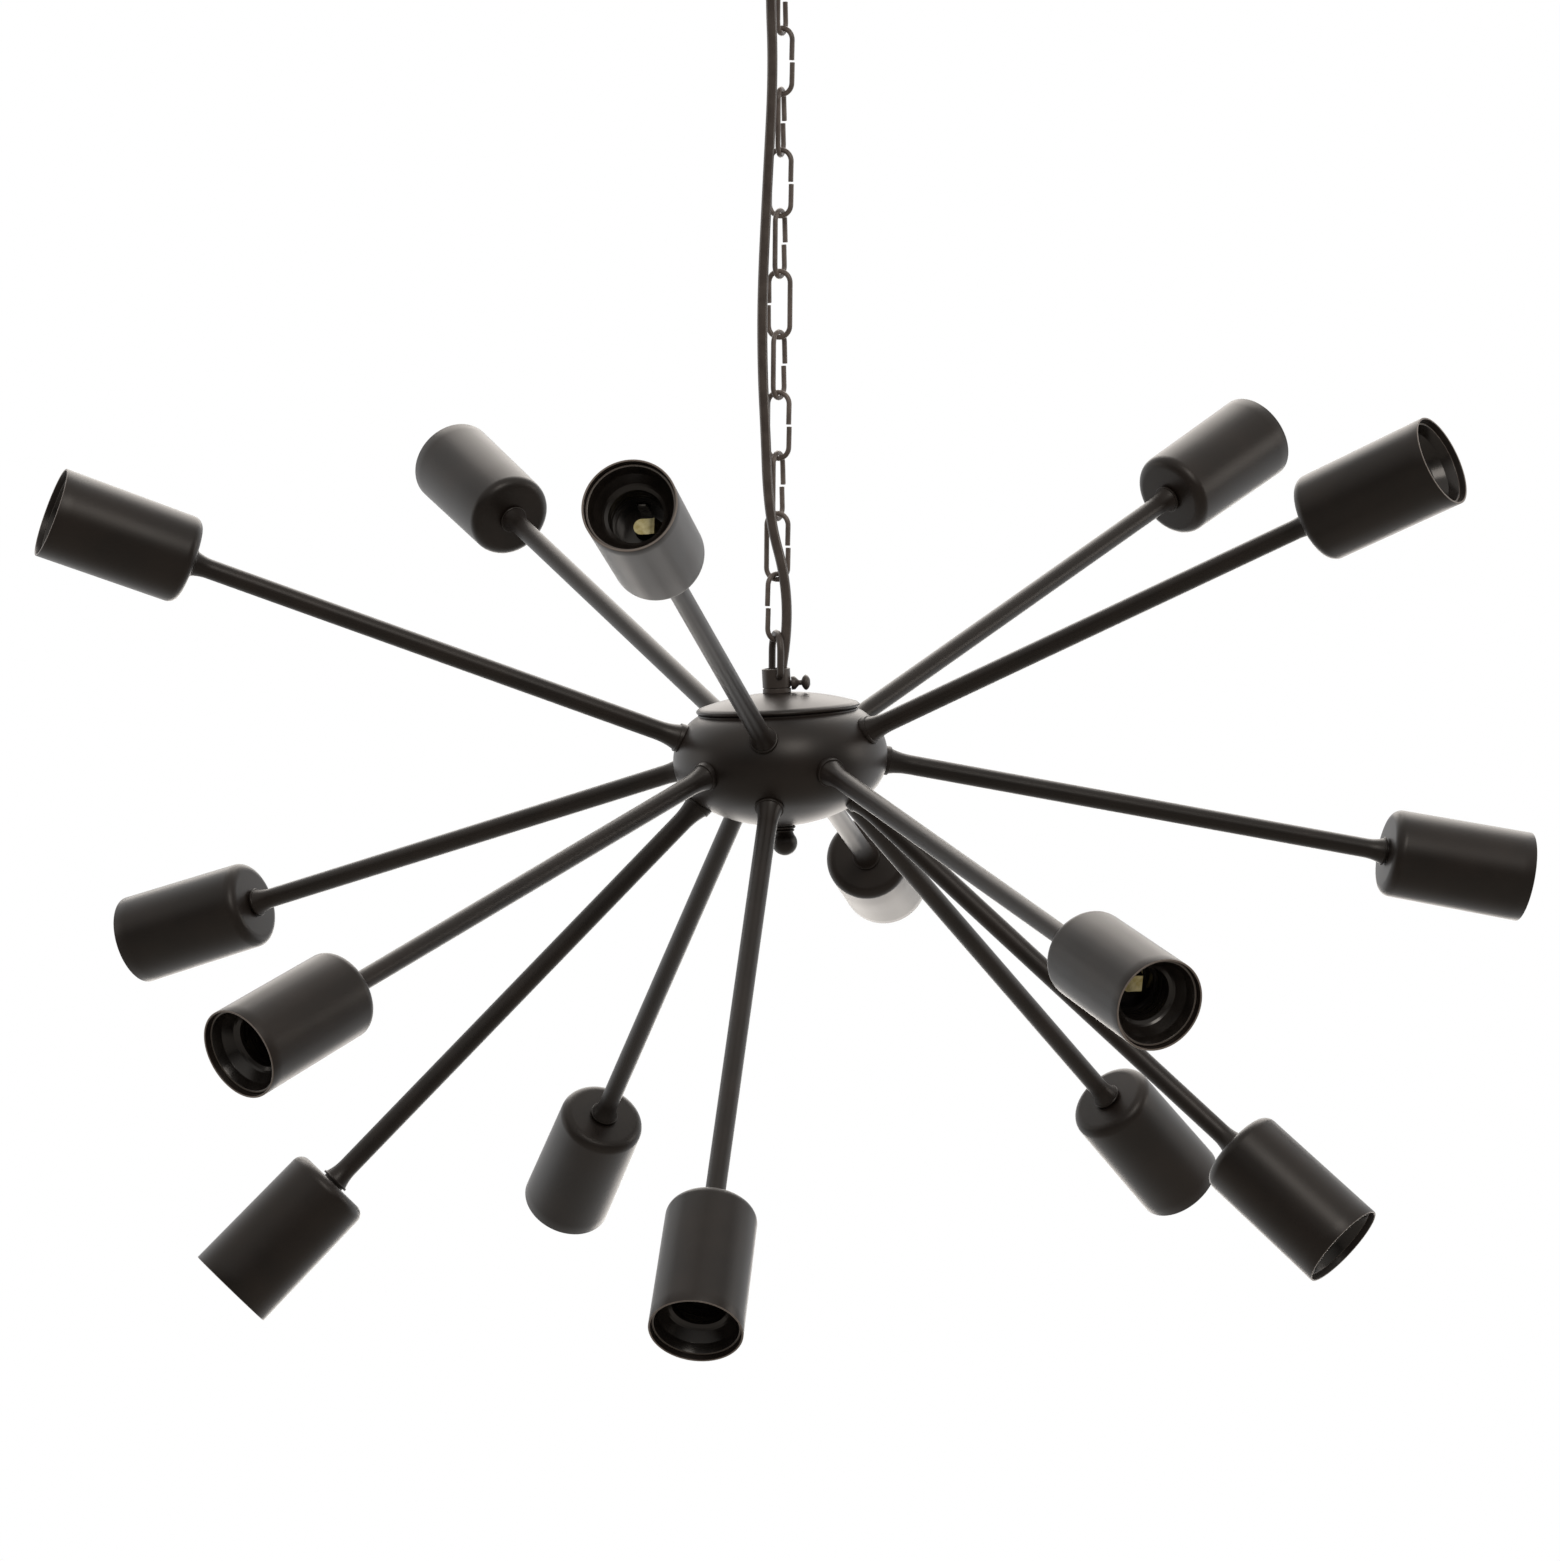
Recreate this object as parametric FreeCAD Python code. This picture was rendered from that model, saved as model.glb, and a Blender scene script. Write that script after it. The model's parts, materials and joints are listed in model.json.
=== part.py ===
"""Sputnik chandelier: fifteen lamp cups on straight arms, a flattened hub, a chain and a ceiling fitting.

Millimetres, +Z up.  The origin is the middle of the ceiling face, so everything hangs below z = 0.
The hub and all that it carries are drawn upright about the hub's own middle, and then hung, with
a slight lean, on the two pins of the bail.
"""
import FreeCAD
import Part
import math
import os

Vector = FreeCAD.Vector

# ---- driving dimensions -------------------------------------------------------------------------
# general clearances
SEAT_GAP = 0.25            # between two hung pieces that bear on each other
THREAD_GAP = 0.1           # radial, a screwed piece in its hole
HOLE_GAP = 0.2             # radial, a plain hole round what passes it
NUT_HEIGHT = 4.0

# chain
LINKS = 11
LINK_WIRE = 2.6
LINK_LENGTH = 36.0         # outside
LINK_WIDTH = 14.4          # outside
LINK_SLIT = 1.0            # where the bent wire's ends nearly meet
FACE_LINK_TURN = -25.0     # plane of every second link, degrees from the X axis
SIDE_LINK_TURN = 55.0      # plane of the links between them
LAST_LINK_TURN = 220.0

# ceiling fitting
CANOPY_RADIUS = 60.0
CANOPY_DEPTH = 25.0
CANOPY_WALL = 1.2
CANOPY_EDGE_RADIUS = 9.0
BRACKET_LENGTH = 104.0
BRACKET_WIDTH = 22.0
BRACKET_THICK = 2.0
CEILING_SCREW_SPACING = 52.0
CEILING_SCREW_HOLE = 2.5   # radius
STUD_SPACING = 84.0
STUD_RADIUS = 2.0
STUD_REACH = 3.2           # below the canopy
CAP_NUT_RADIUS = 4.2
HANGER_STEM_RADIUS = 5.0
HANGER_WIRE = 4.0
HANGER_LOOP_RADIUS = 8.0   # middle of the wire
HANGER_NECK = 6.0          # from the ring nut to the loop's wire
HANGER_NUT_ACROSS = 17.0
RING_NUT_RADIUS = 9.0
RING_NUT_BEVEL = 1.0
GLAND_X = -6.0
GLAND_Y = -15.0
GLAND_RADIUS = 5.4
GLAND_DROP = 14.0
GLAND_WALL = 1.2           # flange past the sleeve
GLAND_SHOULDER = 5.0       # straight part of the flange
GLAND_NOSE_WALL = 0.9
GLAND_TIP = 1.0            # bevel at the nose's end

# bail and cord-grip collar on top of the hub
BAIL_WIRE = 3.6
BAIL_TURN = 103.0
BAIL_SIDE_GAP = 0.35       # bail leg to collar
BAIL_HEIGHT = 21.4         # pins to the middle of the top wire
BAIL_ELBOW = 2.6           # middle radius of the inward bends
PIN_RUNNING_GAP = 0.1
PIN_REACH = 0.9            # pins past the collar's wall, into its bore
COLLAR_RADIUS = 7.15
COLLAR_HEIGHT = 12.4
COLLAR_BORE = 5.9          # radius
COLLAR_BAND = 2.3          # foot band below the groove
COLLAR_PIN_DROP = 3.6      # pins below the collar's top edge
HANG_LEAN = 3.5            # how far the hub leans on its pins, degrees
SCREW_RISE = 4.6           # thumb screw above the collar's foot
SCREW_SHANK = 1.5
SCREW_TIP = 4.5            # from the collar's axis
SCREW_FLANGE = 3.4
SCREW_NECK = 1.3
SCREW_HEAD_RADIUS = 3.9
SCREW_HEAD_THICK = 4.4

# hub
HUB_RADIUS = 54.3
HUB_DROP = 34.5            # middle to the bottom
HUB_SIDE_ARC = 26.0        # radius of the round side
HUB_MOUTH_Z = 24.0
HUB_WALL = 1.6
LID_RADIUS = 41.4
LID_EDGE = 2.2
LID_RISE = 6.9
LID_WALL = 1.5
LID_LIP = 3.0
STEM_RADIUS = 5.0
STEM_BORE = 3.9
STEM_WINDOW = 5.0
STEM_NUT_ACROSS = 16.0
FINIAL_NECK_RADIUS = 5.5
FINIAL_STUD = 10.0
FINIAL_NECK = 3.6
FINIAL_RING = 1.6          # height of the ring against the bowl
FINIAL_STEP = 0.3          # from that ring in to the throat
FINIAL_BEAD = 1.2          # height of the second, smaller ring
FINIAL_BULGE = 0.4         # how far both rings are rounded outwards
FINIAL_THROAT = 4.73       # radius
FINIAL_BALL = 6.4          # radius
FINIAL_BALL_DROP = 5.25    # the ball's middle below the neck
TERMINAL_POLES = 5
TERMINAL_PITCH = 8.0
TERMINAL_WIDTH = 12.0
TERMINAL_FOOT = 4.0
TERMINAL_HEIGHT = 6.0

# arms: (name, lift in degrees, height of the root on the hub, turn of the first arm)
FIRST_ARM_TURN = -27.0
ARMS_PER_RING = 5
STAGGER = 180.0 / ARMS_PER_RING
RINGS = [
    ("upper", 22.6, 13.1, FIRST_ARM_TURN),
    ("middle", -15.8, -4.8, FIRST_ARM_TURN + STAGGER),
    ("lower", -42.4, -21.3, FIRST_ARM_TURN),
]
# how each arm was left standing off its even place when it was tightened: (turn, lift), degrees
HAND_SET = {
    "upper": [(2.0, -0.5), (-0.5, -1.0), (0.5, 0.0), (2.0, 0.5), (-1.5, 1.0)],
    "middle": [(0.5, 2.0), (1.0, -0.5), (0.5, 1.0), (0.0, -2.0), (0.0, -0.5)],
    "lower": [(0.0, 1.0), (2.0, -0.5), (-1.5, -0.5), (0.0, 0.0), (-2.0, 0.0)],
}
ARM_LENGTH = 265.0
ARM_RADIUS = 5.0
ARM_BORE = 3.2
ARM_THREAD_RADIUS = 4.2
ARM_TAIL = 12.0            # threaded end inside the hub
ARM_NIPPLE = 13.0          # threaded end inside the cup
FLARE_RADIUS = 7.4
FLARE_RIM = 1.8
FLARE_LEDGE = 0.8          # rim past the foot of the trumpet
FLARE_BEVEL = 0.4
FLARE_LENGTH = 13.0
ARM_NUT_ACROSS = 12.0
NUT_SADDLE = 3.0           # deepest part of the curved seat on the nuts inside the hub
END_RING_RADIUS = 7.3      # washer between arm and cup
END_RING_THICK = 0.8

# cups and lampholders
CUP_LENGTH = 74.0
CUP_MOUTH_RADIUS = 23.0
CUP_BACK_RADIUS = 22.3
CUP_CORNER = 5.5
CUP_WALL = 1.0
HOLDER_RECESS = 3.0        # ring to cup rim
HOLDER_RING_WIDTH = 1.2
FUNNEL_DEPTH = 7.0
FUNNEL_THROAT = 14.9
THREAD_RADIUS = 13.3
THREAD_DEPTH = 17.0
THREAD_CHAMFER = 1.0
CONTACT_RADIUS = 11.8
CONTACT_DEPTH = 7.5
HOLDER_WALL = 2.2
HOLDER_FLOOR = 4.0
HOLDER_BOSS_RADIUS = 8.0
TONGUE_WIDTH = 7.6
TONGUE_THICK = 0.8
TONGUE_RISE = 5.8
SIDE_CONTACT_WIDTH = 4.0
SIDE_CONTACT_HEIGHT = 7.0

# cable: its middle line from inside the canopy to the window of the hub's stem
CABLE_RADIUS = 2.6
CABLE_ROUTE = [
    (GLAND_X, GLAND_Y, -17.0),
    (GLAND_X, GLAND_Y, -58.0),
    (-4.0, -9.6, -100.0),
    (-6.5, -8.6, -156.0),
    (-8.7, -7.4, -210.0),
    (-8.3, -7.6, -250.0),
    (-6.3, -8.7, -284.0),
    (-5.2, -9.1, -310.0),
    (-2.4, -8.6, -331.0),
    (3.0, -6.6, -350.0),
    (5.2, -4.6, -368.0),
    (4.8, -3.2, -385.0),
    (2.9, -1.0, -400.0),
    (1.2, -0.3, -413.0),
    (1.9, -0.2, -425.0),
]

# ---- levels along the plumb line ----------------------------------------------------------------
LOOP_BOTTOM_Z = -(CANOPY_DEPTH + NUT_HEIGHT + HANGER_NECK + 2 * HANGER_LOOP_RADIUS)
FIRST_LINK_Z = LOOP_BOTTOM_Z + (HANGER_WIRE + LINK_WIRE) / 2 + SEAT_GAP
LINK_SPAN = LINK_LENGTH - LINK_WIRE                    # between the middles of the two end wires
LINK_PITCH = LINK_SPAN - LINK_WIRE - SEAT_GAP
LAST_WIRE_Z = FIRST_LINK_Z - (LINKS - 1) * LINK_PITCH - LINK_SPAN
BAIL_TOP_Z = LAST_WIRE_Z + (LINK_WIRE + BAIL_WIRE) / 2 + SEAT_GAP
PIN_Z = BAIL_TOP_Z - BAIL_HEIGHT
# ---- levels about the hub's middle --------------------------------------------------------------
LID_SPHERE = (LID_RADIUS ** 2 + LID_RISE ** 2) / (2 * LID_RISE)
LID_APEX_Z = HUB_MOUTH_Z + LID_EDGE + LID_RISE
LID_TOP_Z = LID_APEX_Z - LID_SPHERE + math.sqrt(LID_SPHERE ** 2 - COLLAR_RADIUS ** 2)   # collar's seat
COLLAR_TOP_Z = LID_TOP_Z + COLLAR_HEIGHT
PIN_RISE = COLLAR_TOP_Z - COLLAR_PIN_DROP
STEM_BOTTOM_Z = -HUB_DROP

HUB_PLACE = FreeCAD.Placement(Vector(0, 0, PIN_Z - PIN_RISE), FreeCAD.Rotation())
PIN_AXIS = Vector(math.cos(math.radians(BAIL_TURN)), math.sin(math.radians(BAIL_TURN)), 0)
HANG = FreeCAD.Placement(
    Vector(0, 0, 0), FreeCAD.Rotation(PIN_AXIS, -HANG_LEAN), Vector(0, 0, PIN_Z)
).multiply(HUB_PLACE)


# ---- small makers -------------------------------------------------------------------------------
def spun(points, axis_start=Vector(0, 0, 0), axis=Vector(0, 0, 1)):
    """A solid of revolution from (radius, height) corners, straight between them."""
    corners = [Vector(r, 0, z) for r, z in points]
    face = Part.Face(Part.makePolygon(corners + corners[:1]))
    return face.revolve(axis_start, axis, 360)


def spun_edges(edges):
    """A solid of revolution about Z from the closed outline that these edges make."""
    return Part.Face(Part.Wire(edges)).revolve(Vector(0, 0, 0), Vector(0, 0, 1), 360)


def line(a, b):
    return Part.LineSegment(Vector(a[0], 0, a[1]), Vector(b[0], 0, b[1])).toShape()


def arc(a, through, b):
    return Part.Arc(*[Vector(p[0], 0, p[1]) for p in (a, through, b)]).toShape()


def rod(radius, z_low, z_high):
    return Part.makeCylinder(radius, z_high - z_low, Vector(0, 0, z_low))


def hexagon(across, z_low, height):
    """A hexagonal bar across its flats, along Z."""
    corner = across / math.sqrt(3)
    points = [
        Vector(corner * math.cos(math.radians(60 * k)), corner * math.sin(math.radians(60 * k)), z_low)
        for k in range(6)
    ]
    return Part.Face(Part.makePolygon(points + points[:1])).extrude(Vector(0, 0, height))


def nut(across, bore, z_low, height=NUT_HEIGHT):
    return hexagon(across, z_low, height).cut(rod(bore, z_low - 1, z_low + height + 1))


def swept(path, radius, start, direction):
    """Round wire along a path of lines and arcs."""
    ring = Part.Wire(Part.Circle(start, direction, radius).toShape())
    return path.makePipeShell([ring], True, False)


def save(name, shape):
    shape.exportStep(os.path.join("parts", name + ".step"))


def group(shapes):
    return Part.makeCompound(shapes)


# ---- ceiling fitting ----------------------------------------------------------------------------
def ceiling_bracket():
    """Steel strip that is screwed to the ceiling and carries the hanger and the canopy's studs."""
    strip = Part.makeBox(
        BRACKET_LENGTH, BRACKET_WIDTH, BRACKET_THICK,
        Vector(-BRACKET_LENGTH / 2, -BRACKET_WIDTH / 2, -BRACKET_THICK),
    )
    upright = [e for e in strip.Edges if abs(e.tangentAt(e.FirstParameter).z) > 0.9]
    strip = strip.makeFillet(BRACKET_WIDTH / 4, upright)
    strip = strip.cut(rod(HANGER_STEM_RADIUS + THREAD_GAP, -BRACKET_THICK - 1, 1))
    for side in (-1, 1):
        for spacing, radius in (
            (CEILING_SCREW_SPACING, CEILING_SCREW_HOLE),
            (STUD_SPACING, STUD_RADIUS + THREAD_GAP),
        ):
            hole = rod(radius, -BRACKET_THICK - 1, 1)
            hole.translate(Vector(side * spacing / 2, 0, 0))
            strip = strip.cut(hole)
    return strip


def canopy():
    """Pressed steel cover, open at the top, with a round lower edge."""
    r, d, w, e = CANOPY_RADIUS, CANOPY_DEPTH, CANOPY_WALL, CANOPY_EDGE_RADIUS
    bend = math.sqrt(0.5)
    inner = e - w
    shell = spun_edges([
        line((r, 0), (r, -d + e)),
        arc((r, -d + e), (r - e + e * bend, -d + e - e * bend), (r - e, -d)),
        line((r - e, -d), (0, -d)),
        line((0, -d), (0, -d + w)),
        line((0, -d + w), (r - e, -d + w)),
        arc((r - e, -d + w), (r - e + inner * bend, -d + e - inner * bend), (r - w, -d + e)),
        line((r - w, -d + e), (r - w, 0)),
        line((r - w, 0), (r, 0)),
    ])
    shell = shell.cut(rod(HANGER_STEM_RADIUS + HOLE_GAP, -d - 1, 0))
    gland_hole = rod(GLAND_RADIUS - GLAND_WALL + HOLE_GAP, -d - 1, 0)
    gland_hole.translate(Vector(GLAND_X, GLAND_Y, 0))
    shell = shell.cut(gland_hole)
    for side in (-1, 1):
        hole = rod(STUD_RADIUS + HOLE_GAP, -d - 1, 0)
        hole.translate(Vector(side * STUD_SPACING / 2, 0, 0))
        shell = shell.cut(hole)
    return shell


def canopy_fixings():
    """Two threaded studs in the bracket, each with a domed cap nut under the canopy."""
    pieces = []
    nut_top = -CANOPY_DEPTH
    reach = STUD_REACH
    bend = math.sqrt(0.5)
    for side in (-1, 1):
        move = Vector(side * STUD_SPACING / 2, 0, 0)
        stud = rod(STUD_RADIUS, nut_top - reach, 0)
        dome_z = nut_top - reach - CAP_NUT_RADIUS + STUD_RADIUS
        cap = spun_edges([
            line((0, nut_top), (CAP_NUT_RADIUS, nut_top)),
            line((CAP_NUT_RADIUS, nut_top), (CAP_NUT_RADIUS, dome_z)),
            arc(
                (CAP_NUT_RADIUS, dome_z),
                (CAP_NUT_RADIUS * bend, dome_z - CAP_NUT_RADIUS * bend),
                (0, dome_z - CAP_NUT_RADIUS),
            ),
            line((0, dome_z - CAP_NUT_RADIUS), (0, nut_top)),
        ])
        cap = cap.cut(rod(STUD_RADIUS, nut_top - reach, nut_top + 1))
        for piece in (stud, cap):
            piece.translate(move)
            pieces.append(piece)
    return group(pieces)


def canopy_hanger():
    """Threaded stem with a round loop at its foot, which the chain hangs on."""
    loop_z = LOOP_BOTTOM_Z + HANGER_LOOP_RADIUS
    loop = Part.makeTorus(HANGER_LOOP_RADIUS, HANGER_WIRE / 2, Vector(0, 0, loop_z), Vector(0, 1, 0))
    foot_z = loop_z + HANGER_LOOP_RADIUS
    neck_top = -CANOPY_DEPTH - NUT_HEIGHT
    neck = spun([
        (0, foot_z), (HANGER_WIRE / 2 + 1, foot_z), (HANGER_STEM_RADIUS, neck_top - 1.5),
        (HANGER_STEM_RADIUS, 0), (0, 0),
    ])
    piece = loop.fuse(neck)
    piece.rotate(Vector(0, 0, 0), Vector(0, 0, 1), FACE_LINK_TURN)
    return piece


def hanger_nuts():
    """Round ring nut under the canopy and hexagonal lock nuts on both sides of its top plate."""
    low = -CANOPY_DEPTH - NUT_HEIGHT
    ring = spun([
        (HANGER_STEM_RADIUS, low), (RING_NUT_RADIUS - RING_NUT_BEVEL, low),
        (RING_NUT_RADIUS, low + RING_NUT_BEVEL),
        (RING_NUT_RADIUS, low + NUT_HEIGHT), (HANGER_STEM_RADIUS, low + NUT_HEIGHT),
    ])
    across = HANGER_NUT_ACROSS
    inside = nut(across, HANGER_STEM_RADIUS, -CANOPY_DEPTH + CANOPY_WALL)
    under = nut(across, HANGER_STEM_RADIUS, -BRACKET_THICK - NUT_HEIGHT)
    return group([ring, inside, under])


def cable_gland():
    """Strain relief: a flanged sleeve through the canopy with a tapered nose."""
    top = -CANOPY_DEPTH + CANOPY_WALL + NUT_HEIGHT
    bore = CABLE_RADIUS + HOLE_GAP
    sleeve = GLAND_RADIUS - GLAND_WALL
    nose = bore + GLAND_NOSE_WALL
    foot = -CANOPY_DEPTH - GLAND_DROP
    body = spun([
        (bore, top), (sleeve, top), (sleeve, -CANOPY_DEPTH), (GLAND_RADIUS, -CANOPY_DEPTH),
        (GLAND_RADIUS, -CANOPY_DEPTH - GLAND_SHOULDER), (nose, foot + GLAND_TIP),
        (nose - GLAND_TIP / 2, foot), (bore, foot),
    ])
    body.translate(Vector(GLAND_X, GLAND_Y, 0))
    return body


# ---- chain --------------------------------------------------------------------------------------
def link_turn(number):
    if number == LINKS:
        return LAST_LINK_TURN
    return FACE_LINK_TURN if number % 2 == 0 else SIDE_LINK_TURN


def chain_link(number):
    """An open oval link of round wire; its ends nearly meet in the middle of one long side."""
    half = (LINK_WIDTH - LINK_WIRE) / 2
    top = FIRST_LINK_Z - (number - 1) * LINK_PITCH
    low = top - LINK_SPAN
    middle = (top + low) / 2
    right, left = half, -half
    path = Part.Wire([
        Part.LineSegment(Vector(right, 0, middle - LINK_SLIT / 2), Vector(right, 0, low + half)).toShape(),
        Part.Arc(Vector(right, 0, low + half), Vector(0, 0, low), Vector(left, 0, low + half)).toShape(),
        Part.LineSegment(Vector(left, 0, low + half), Vector(left, 0, top - half)).toShape(),
        Part.Arc(Vector(left, 0, top - half), Vector(0, 0, top), Vector(right, 0, top - half)).toShape(),
        Part.LineSegment(Vector(right, 0, top - half), Vector(right, 0, middle + LINK_SLIT / 2)).toShape(),
    ])
    link = swept(path, LINK_WIRE / 2, Vector(right, 0, middle - LINK_SLIT / 2), Vector(0, 0, -1))
    link.rotate(Vector(0, 0, 0), Vector(0, 0, 1), link_turn(number))
    return link


# ---- bail, collar and thumb screw ---------------------------------------------------------------
def bail():
    """Bent wire handle; its legs pass outside the collar and turn in as pins."""
    half = COLLAR_RADIUS + BAIL_SIDE_GAP + BAIL_WIRE / 2
    crown = BAIL_TOP_Z - half
    elbow = BAIL_ELBOW
    tip = COLLAR_BORE - PIN_REACH
    bend = elbow * (1 - math.sqrt(0.5))
    path = Part.Wire([
        Part.LineSegment(Vector(tip, 0, PIN_Z), Vector(half - elbow, 0, PIN_Z)).toShape(),
        Part.Arc(
            Vector(half - elbow, 0, PIN_Z),
            Vector(half - bend, 0, PIN_Z + bend),
            Vector(half, 0, PIN_Z + elbow),
        ).toShape(),
        Part.LineSegment(Vector(half, 0, PIN_Z + elbow), Vector(half, 0, crown)).toShape(),
        Part.Arc(Vector(half, 0, crown), Vector(0, 0, BAIL_TOP_Z), Vector(-half, 0, crown)).toShape(),
        Part.LineSegment(Vector(-half, 0, crown), Vector(-half, 0, PIN_Z + elbow)).toShape(),
        Part.Arc(
            Vector(-half, 0, PIN_Z + elbow),
            Vector(-half + bend, 0, PIN_Z + bend),
            Vector(-half + elbow, 0, PIN_Z),
        ).toShape(),
        Part.LineSegment(Vector(-half + elbow, 0, PIN_Z), Vector(-tip, 0, PIN_Z)).toShape(),
    ])
    piece = swept(path, BAIL_WIRE / 2, Vector(tip, 0, PIN_Z), Vector(1, 0, 0))
    piece.rotate(Vector(0, 0, 0), Vector(0, 0, 1), BAIL_TURN)
    return piece


def pin_hole():
    reach = 2 * COLLAR_RADIUS
    return Part.makeCylinder(
        BAIL_WIRE / 2 + PIN_RUNNING_GAP, 2 * reach, Vector(0, 0, PIN_RISE) - PIN_AXIS * reach, PIN_AXIS
    )


def hub_collar():
    """Turned collar, screwed on the stem, that grips the cable; the bail's pins sit in its sides."""
    foot, top = LID_TOP_Z, COLLAR_TOP_Z
    groove = 0.35
    body = spun([
        (STEM_RADIUS, foot), (COLLAR_RADIUS, foot), (COLLAR_RADIUS, foot + COLLAR_BAND),
        (COLLAR_RADIUS - groove, foot + COLLAR_BAND), (COLLAR_RADIUS - groove, foot + COLLAR_BAND + groove),
        (COLLAR_RADIUS, foot + COLLAR_BAND + groove), (COLLAR_RADIUS, top - groove),
        (COLLAR_RADIUS - groove, top), (COLLAR_BORE + groove, top), (COLLAR_BORE, top - groove),
        (COLLAR_BORE, foot + COLLAR_BAND), (STEM_RADIUS, foot + COLLAR_BAND),
    ])
    screw_hole = Part.makeCylinder(
        SCREW_SHANK + THREAD_GAP, 2 * COLLAR_RADIUS, Vector(0, 0, foot + SCREW_RISE), Vector(1, 0, 0)
    )
    return body.cut(pin_hole()).cut(screw_hole)


def thumb_screw():
    """Small thumb screw with a flange and a flattened ball for a head, drawn along X."""
    seat = COLLAR_RADIUS + SEAT_GAP
    neck_end = seat + 5.2
    head_end = neck_end + SCREW_HEAD_THICK
    edges = [
        line((0, SCREW_TIP), (SCREW_SHANK, SCREW_TIP)),
        line((SCREW_SHANK, SCREW_TIP), (SCREW_SHANK, seat)),
        line((SCREW_SHANK, seat), (SCREW_FLANGE, seat)),
        arc((SCREW_FLANGE, seat), (SCREW_FLANGE - 0.5, seat + 2.2), (SCREW_NECK, seat + 4.0)),
        line((SCREW_NECK, seat + 4.0), (SCREW_NECK, neck_end)),
        arc(
            (SCREW_NECK, neck_end),
            (SCREW_HEAD_RADIUS, (neck_end + head_end) / 2),
            (SCREW_NECK, head_end),
        ),
        line((SCREW_NECK, head_end), (0, head_end)),
        line((0, head_end), (0, SCREW_TIP)),
    ]
    screw = spun_edges(edges)
    screw.rotate(Vector(0, 0, 0), Vector(0, 1, 0), 90)
    screw.translate(Vector(0, 0, LID_TOP_Z + SCREW_RISE))
    return screw


# ---- hub ----------------------------------------------------------------------------------------
def hub_arcs(inset):
    """Middle radii and centres of the hub's two arcs: the round side and the wide bottom."""
    side = HUB_SIDE_ARC - inset
    side_r = HUB_RADIUS - HUB_SIDE_ARC
    k = HUB_DROP - HUB_SIDE_ARC
    centre_z = (side_r ** 2 - k ** 2) / (2 * k)
    bottom = HUB_DROP + centre_z - inset
    return side, side_r, bottom, centre_z


def hub_solid(inset=0.0):
    """The hub's outside, or its inside when inset by the wall, as a filled solid."""
    side, side_r, bottom, centre_z = hub_arcs(inset)
    reach = math.hypot(side_r, centre_z)
    join = (bottom * side_r / reach, centre_z - bottom * centre_z / reach)
    mouth = (side_r + math.sqrt(side ** 2 - HUB_MOUTH_Z ** 2), HUB_MOUTH_Z)
    equator = (side_r + side, 0)
    half_turn = math.atan2(join[1] - centre_z, join[0])
    mid = (
        bottom * math.cos((half_turn - math.pi / 2) / 2),
        centre_z + bottom * math.sin((half_turn - math.pi / 2) / 2),
    )
    return spun_edges([
        line((0, HUB_MOUTH_Z), mouth),
        arc(mouth, equator, join),
        arc(join, mid, (0, centre_z - bottom)),
        line((0, centre_z - bottom), (0, HUB_MOUTH_Z)),
    ])


def hub_radius_at(z):
    side, side_r, bottom, centre_z = hub_arcs(0.0)
    join_z = centre_z - bottom * centre_z / math.hypot(side_r, centre_z)
    if z > join_z:
        return side_r + math.sqrt(side ** 2 - z ** 2)
    return math.sqrt(bottom ** 2 - (z - centre_z) ** 2)


def arm_places():
    """(name, placement) of every arm: its own Z axis runs from the root outwards."""
    places = []
    for ring, lift, root_z, first in RINGS:
        for k in range(ARMS_PER_RING):
            turn = first + k * 360.0 / ARMS_PER_RING
            off_turn, off_lift = HAND_SET[ring][k]
            radius = hub_radius_at(root_z)
            root = Vector(
                radius * math.cos(math.radians(turn)), radius * math.sin(math.radians(turn)), root_z
            )
            out = FreeCAD.Rotation(Vector(0, 0, 1), turn + off_turn).multiply(
                FreeCAD.Rotation(Vector(0, 1, 0), 90 - lift - off_lift)
            )
            places.append((ring + "_" + str(k + 1), FreeCAD.Placement(root, out)))
    return places


def placed(shape, placement):
    copy = shape.copy()
    copy.Placement = placement.multiply(copy.Placement)
    return copy


def hub_shell(places):
    """Spun steel bowl, open at the top, with a hole for every arm and one for the stem."""
    shell = hub_solid().cut(hub_solid(HUB_WALL))
    shell = shell.cut(rod(STEM_RADIUS + HOLE_GAP, -2 * HUB_DROP, 0))
    for _, place in places:
        shell = shell.cut(placed(rod(ARM_THREAD_RADIUS + HOLE_GAP, -ARM_TAIL, FLARE_LENGTH), place))
    return shell


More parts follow.
